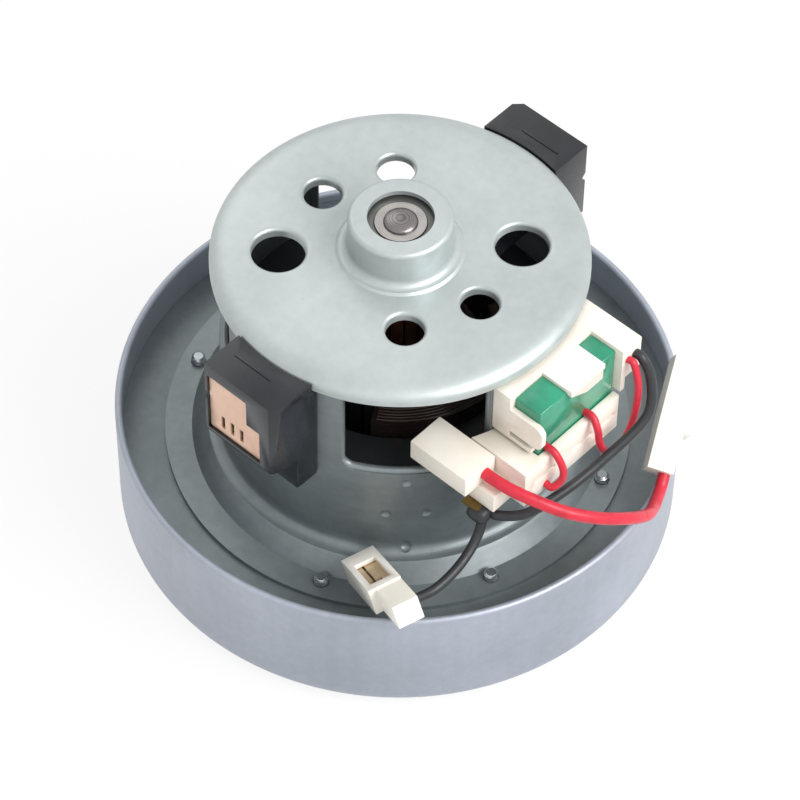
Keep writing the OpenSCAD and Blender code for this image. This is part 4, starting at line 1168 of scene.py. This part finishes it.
@dataclass
class BrushGear(SubAssembly):
    """The two brush holders with their tubes, end plates, springs and brushes."""

    brush_z: float = 71.8 * MM
    spring_x0: float = 37.1 * MM
    spring_x1: float = 52.6 * MM
    coil_r: float = 2.4 * MM
    wire_r: float = 0.4 * MM
    turns: int = 8
    turn_steps: int = 24
    close_pitch: float = 2.1
    wire_sides: int = 8
    travel: float = 6.0 * MM
    edge: float = 0.5 * MM
    edge_faces: int = 3
    plate_edge: float = 0.12 * MM

    def _spring(self, side: int) -> list[Vector]:
        """Gives the line of a brush spring with its end turns laid close.

        Args:
            side: 1 for the brush on +X, -1 for the other one.

        Returns:
            Points along the wire.
        """
        close = self.close_pitch * self.wire_r
        free = (self.spring_x1 - self.spring_x0 - 2 * close) / (self.turns - 2)
        line = []
        for i in range(self.turn_steps * self.turns + 1):
            n = i / self.turn_steps
            x = close * min(n, 1) + free * min(max(n - 1, 0), self.turns - 2)
            x += close * max(n - self.turns + 1, 0)
            a = math.tau * n
            line.append(Vector((side * (self.spring_x0 + x), side * self.coil_r * math.cos(a),
                                self.brush_z + self.coil_r * math.sin(a))))
        return line

    def build(self) -> None:
        """Builds both sides."""
        for word, side in (("left", -1), ("right", 1)):
            self.moulded(f"brush_holder_{word}", Finishes.BLACK_MOULDING, "holder_plastic",
                         self.edge, self.edge_faces)
            self.moulded(f"end_plate_{word}", Finishes.COPPER_PLATE, "end_plate_copper",
                         self.plate_edge)
            self.dress(Finishes.BRASS, f"brush_tube_{word}")
            self.dress(Finishes.CARBON, f"carbon_brush_{word}")
            spring = self.forms.wire(f"brush_spring_{word}_coil", [self._spring(side)],
                                     self.wire_r, Finishes.STEEL_WIRE, self.wire_sides)
            self.add(spring, "spring_steel", f"brush_spring_{word}")
            length = self.spring_x1 - self.spring_x0
            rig.squash(spring, f"brush_{word}_slide", axis=(1, 0, 0),
                      anchor=(side * (self.spring_x1 + self.wire_r), 0, self.brush_z),
                      keep=1 - self.travel / length)


@dataclass
class TerminalBlock(SubAssembly):
    """The terminal cover and housing with the thermal cut-out, the coil connector and the tab."""

    edge: float = 0.35 * MM
    cutout_edge: float = 0.5 * MM
    cutout_faces: int = 3
    boot_y0: float = -50.2 * MM
    boot_y1: float = -45.2 * MM
    boot_at: tuple[float, float] = (-23.7 * MM, 52.3 * MM)
    boot_half: tuple[float, float] = (3.3 * MM, 2.05 * MM)
    boot_sides: int = 32
    boot_shade: float = 50.0

    # Share of the boot's length, and growth of its section in millimetres
    BOOT_ROWS = ((0.0, -1.1), (0.05, -0.5), (0.15, -0.12), (0.3, 0.06), (0.65, 0.06),
                 (0.85, -0.06), (0.96, -0.4), (1.0, -0.9))

    def _boot(self) -> bpy.types.Object:
        """Shapes the soft boot over the tab's crimp, closed round its two wires."""
        sides = self.boot_sides
        points: list[Vector] = []
        for t, grow in self.BOOT_ROWS:
            half_w, half_h = self.boot_half[0] + grow * MM, self.boot_half[1] + grow * MM
            y = self.boot_y0 + (self.boot_y1 - self.boot_y0) * t
            for k in range(sides):
                a = math.tau * k / sides
                x = half_h * math.cos(a) + math.copysign(half_w - half_h, math.cos(a))
                points.append(Vector((self.boot_at[0] + x, y,
                                      self.boot_at[1] + half_h * math.sin(a))))
        last = (len(self.BOOT_ROWS) - 1) * sides
        faces = ring_faces(len(self.BOOT_ROWS), sides)
        faces += [tuple(range(sides)), tuple(range(last, last + sides))]
        made = mesh_of("crimp_boot", points, faces)
        soften_shading(made.data, self.boot_shade)
        made.data.materials.append(Finishes.BLACK_SHEATH.material())
        return made

    def build(self) -> None:
        """Builds the block."""
        for name in ("terminal_cover", "terminal_housing", "coil_connector"):
            self.moulded(name, Finishes.CREAM_MOULDING, "terminal_plastic", self.edge)
        self.moulded("thermal_cutout", Finishes.GREEN_RESIN, "cutout_green", self.cutout_edge,
                     self.cutout_faces)
        self.dress(Finishes.BRASS, "coil_contact", "tab_terminal")
        self.add(self._boot(), "black_wire")


@dataclass
class Rotor(SubAssembly):
    """The shaft with the armature, the commutator and the fan."""

    slots: int = 22
    span: float = 150.0
    strand_r: float = 0.36 * MM
    strand_sides: int = 6
    layers: int = 3
    steps: int = 24
    layer_turn: float = 2.2

    # Radius, dip and height of the first wire in millimetres, each with its change a layer
    SLOT_R = (17.7, 0.35)
    DIP = (7.4, 0.9)
    RISE = (4.4, 0.28)
    FOOT_Z = 53.6
    DIP_POWER = 0.9
    RISE_POWER = 0.8
    RISE_SPEED = 1.7

    def _loops(self) -> bpy.types.Object:
        """Shapes the wires that leave one slot and cross the upper winding head."""
        lines = []
        for k in range(self.layers):
            radius = self.SLOT_R[0] - self.SLOT_R[1] * k
            dip = self.DIP[0] - self.DIP[1] * k
            height = self.RISE[0] + self.RISE[1] * k
            line = []
            for i in range(self.steps + 1):
                t = i / self.steps
                bow = math.sin(math.pi * t)
                r = (radius - dip * bow ** self.DIP_POWER) * MM
                climb = min(1.0, self.RISE_SPEED * bow) ** self.RISE_POWER
                z = (self.FOOT_Z + height * climb) * MM
                line.append(polar(r, math.radians(self.span * t + self.layer_turn * k), z))
            lines.append(line)
        return self.forms.wire("loop_shape", lines, self.strand_r, Finishes.STRAND,
                               self.strand_sides)

    def build(self) -> None:
        """Dresses the rotor and adds the wires of the winding head."""
        self.dress(Finishes.GROUND, "shaft")
        self.dress(Finishes.LAMINATION, "armature_core")
        self.dress(Finishes.WINDING, "armature_winding")
        self.dress(Finishes.HUB_RESIN, "commutator_hub")
        self.dress(Finishes.COMMUTATOR, "commutator_bars")
        self.dress(Finishes.ALUMINIUM, "fan_back_disc", "fan_blades", "fan_front_disc")
        self.dress(Finishes.SCREW, "fan_spacer", "fan_washer", "fan_nut")
        turns = [360.0 * i / self.slots for i in range(self.slots)]
        head = self.forms.set_out("armature_head_wires", self._loops(), [Vector()] * self.slots,
                                  turns, Finishes.STRAND)
        self.add(head, "winding", body="rotor")


# Studio


@dataclass(frozen=True)
class Lamp:
    """A soft lamp.

    Attributes:
        name: Name of the lamp.
        at: Its place.
        size: Side of its square face.
        watts: Its power.
    """

    name: str
    at: Point
    size: float
    watts: float


@dataclass
class Studio:
    """Camera, lamps, world and floor."""

    target: Point = (0.0, 0.0, 46.8 * MM)
    distance: float = 900.0 * MM
    azimuth: float = -138.0
    elevation: float = 50.31
    focal_px: float = 3792.2
    centre_px: tuple[float, float] = (398.1, 357.0)
    frame_px: float = 800.0
    roll: float = 0.9
    sensor: float = 36.0
    clip: tuple[float, float] = (0.01, 50.0)
    floor_half: float = 3.0
    floor_z: float = -0.4 * MM
    floor_glow: float = 0.87
    floor_grain: float = 900.0
    light: float = 0.6

    LAMPS = (
        Lamp("key", (0.18, -0.88, 0.90), 0.8, 14.5),
        Lamp("fill", (-0.80, -0.35, 0.80), 0.8, 0.4),
        Lamp("back", (0.35, 0.75, 0.80), 0.6, 0.9),
    )

    def camera(self) -> None:
        """Sets the camera to the photograph's angle, with its axis through the frame's middle."""
        a, e = math.radians(self.azimuth), math.radians(self.elevation)
        away = Vector((math.cos(e) * math.cos(a), math.cos(e) * math.sin(a), math.sin(e)))
        ahead = -away
        right = ahead.cross(Vector((0, 0, 1))).normalized()
        up = right.cross(ahead)
        half = self.frame_px / 2
        aim = (ahead + right * ((half - self.centre_px[0]) / self.focal_px)
               - up * ((half - self.centre_px[1]) / self.focal_px)).normalized()
        lens = bpy.data.cameras.new("camera")
        lens.sensor_width = self.sensor
        lens.lens = self.sensor * self.focal_px / self.frame_px
        lens.clip_start, lens.clip_end = self.clip
        made = new_object("camera", lens)
        turn = aim.to_track_quat("-Z", "Y").to_matrix().to_4x4()
        spin = Matrix.Rotation(math.radians(self.roll), 4, "Z")
        stand = Matrix.Translation(Vector(self.target) + away * self.distance)
        made.matrix_world = stand @ turn @ spin
        bpy.context.scene.camera = made

    def lamps(self) -> None:
        """Hangs the soft lamps."""
        for lamp in self.LAMPS:
            light = bpy.data.lights.new(lamp.name, "AREA")
            light.size = lamp.size
            light.energy = lamp.watts
            made = new_object(lamp.name, light)
            at = Vector(lamp.at)
            made.location = at
            made.rotation_euler = (Vector(self.target) - at).to_track_quat("-Z", "Y").to_euler()

    @staticmethod
    def _seen(shader: Shader) -> Value:
        """Gives 1 for what the camera sees, directly, mirrored or through glass."""
        camera = shader.node("ShaderNodeLightPath", output="Is Camera Ray")
        glossy = shader.node("ShaderNodeLightPath", output="Is Glossy Ray")
        through = shader.node("ShaderNodeLightPath", output="Is Transmission Ray")
        return camera.most(glossy).most(through)

    def world(self) -> None:
        """Lights the room evenly and shows it white."""
        room = bpy.data.worlds.new("room")
        bpy.context.scene.world = room
        sky = Shader(room)
        strength = self.light + self._seen(sky) * (1.0 - self.light)
        glow = sky.node("ShaderNodeBackground", inputs={
            "Color": (1, 1, 1, 1), "Strength": strength})
        sky.close(glow, "ShaderNodeOutputWorld")

    def floor(self) -> None:
        """Lays the pale floor."""
        half = self.floor_half
        corners = ((-half, -half), (half, -half), (half, half), (-half, half))
        piece = mesh_of("floor", [Vector((x, y, self.floor_z)) for x, y in corners],
                        [(0, 1, 2, 3)])
        s = Shader(bpy.data.materials.new("floor_paper"))
        grain = s.noise(self.floor_grain, 2.0)
        tone = s.mix(grain, tint("f4f4f3"), tint("f9f9f8"))
        paper = s.node("ShaderNodeBsdfDiffuse", inputs={"Color": tone, "Roughness": 0.9})
        glow = s.node("ShaderNodeEmission", inputs={"Color": (1, 1, 1, 1), "Strength": 1.0})
        s.close(s.node("ShaderNodeMixShader", inputs={
            0: self._seen(s) * self.floor_glow, 1: paper, 2: glow}))
        piece.data.materials.append(s.owner)
        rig.stage(piece)

    def build(self) -> None:
        """Sets the whole studio up."""
        bpy.context.scene.view_settings.view_transform = "Standard"
        self.lamps()
        self.world()
        self.floor()


def main() -> None:
    """Loads the solids, builds and dresses every sub-assembly and writes both boxes."""
    logging.basicConfig(level=logging.INFO, format="%(name)s: %(message)s")
    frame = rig.load()
    solid_box = [list(corner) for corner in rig.bounds()]
    studio = Studio()
    studio.camera()
    nodes, forms = frame["nodes"], Forms()
    parts: Sequence[Callable[..., SubAssembly]] = (
        Leads, FanHousing, MotorFrame, EndCap, BrushGear, TerminalBlock, Rotor)
    for part in parts:
        part(nodes, forms).build()
    studio.build()
    shown_box = [list(corner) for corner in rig.bounds()]
    with open("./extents.json", "w", encoding="utf-8") as out:
        json.dump({"solids": solid_box, "shown": shown_box}, out)
    LOG.info("solids %s, shown %s", solid_box, shown_box)


if __name__ == "__main__":
    main()
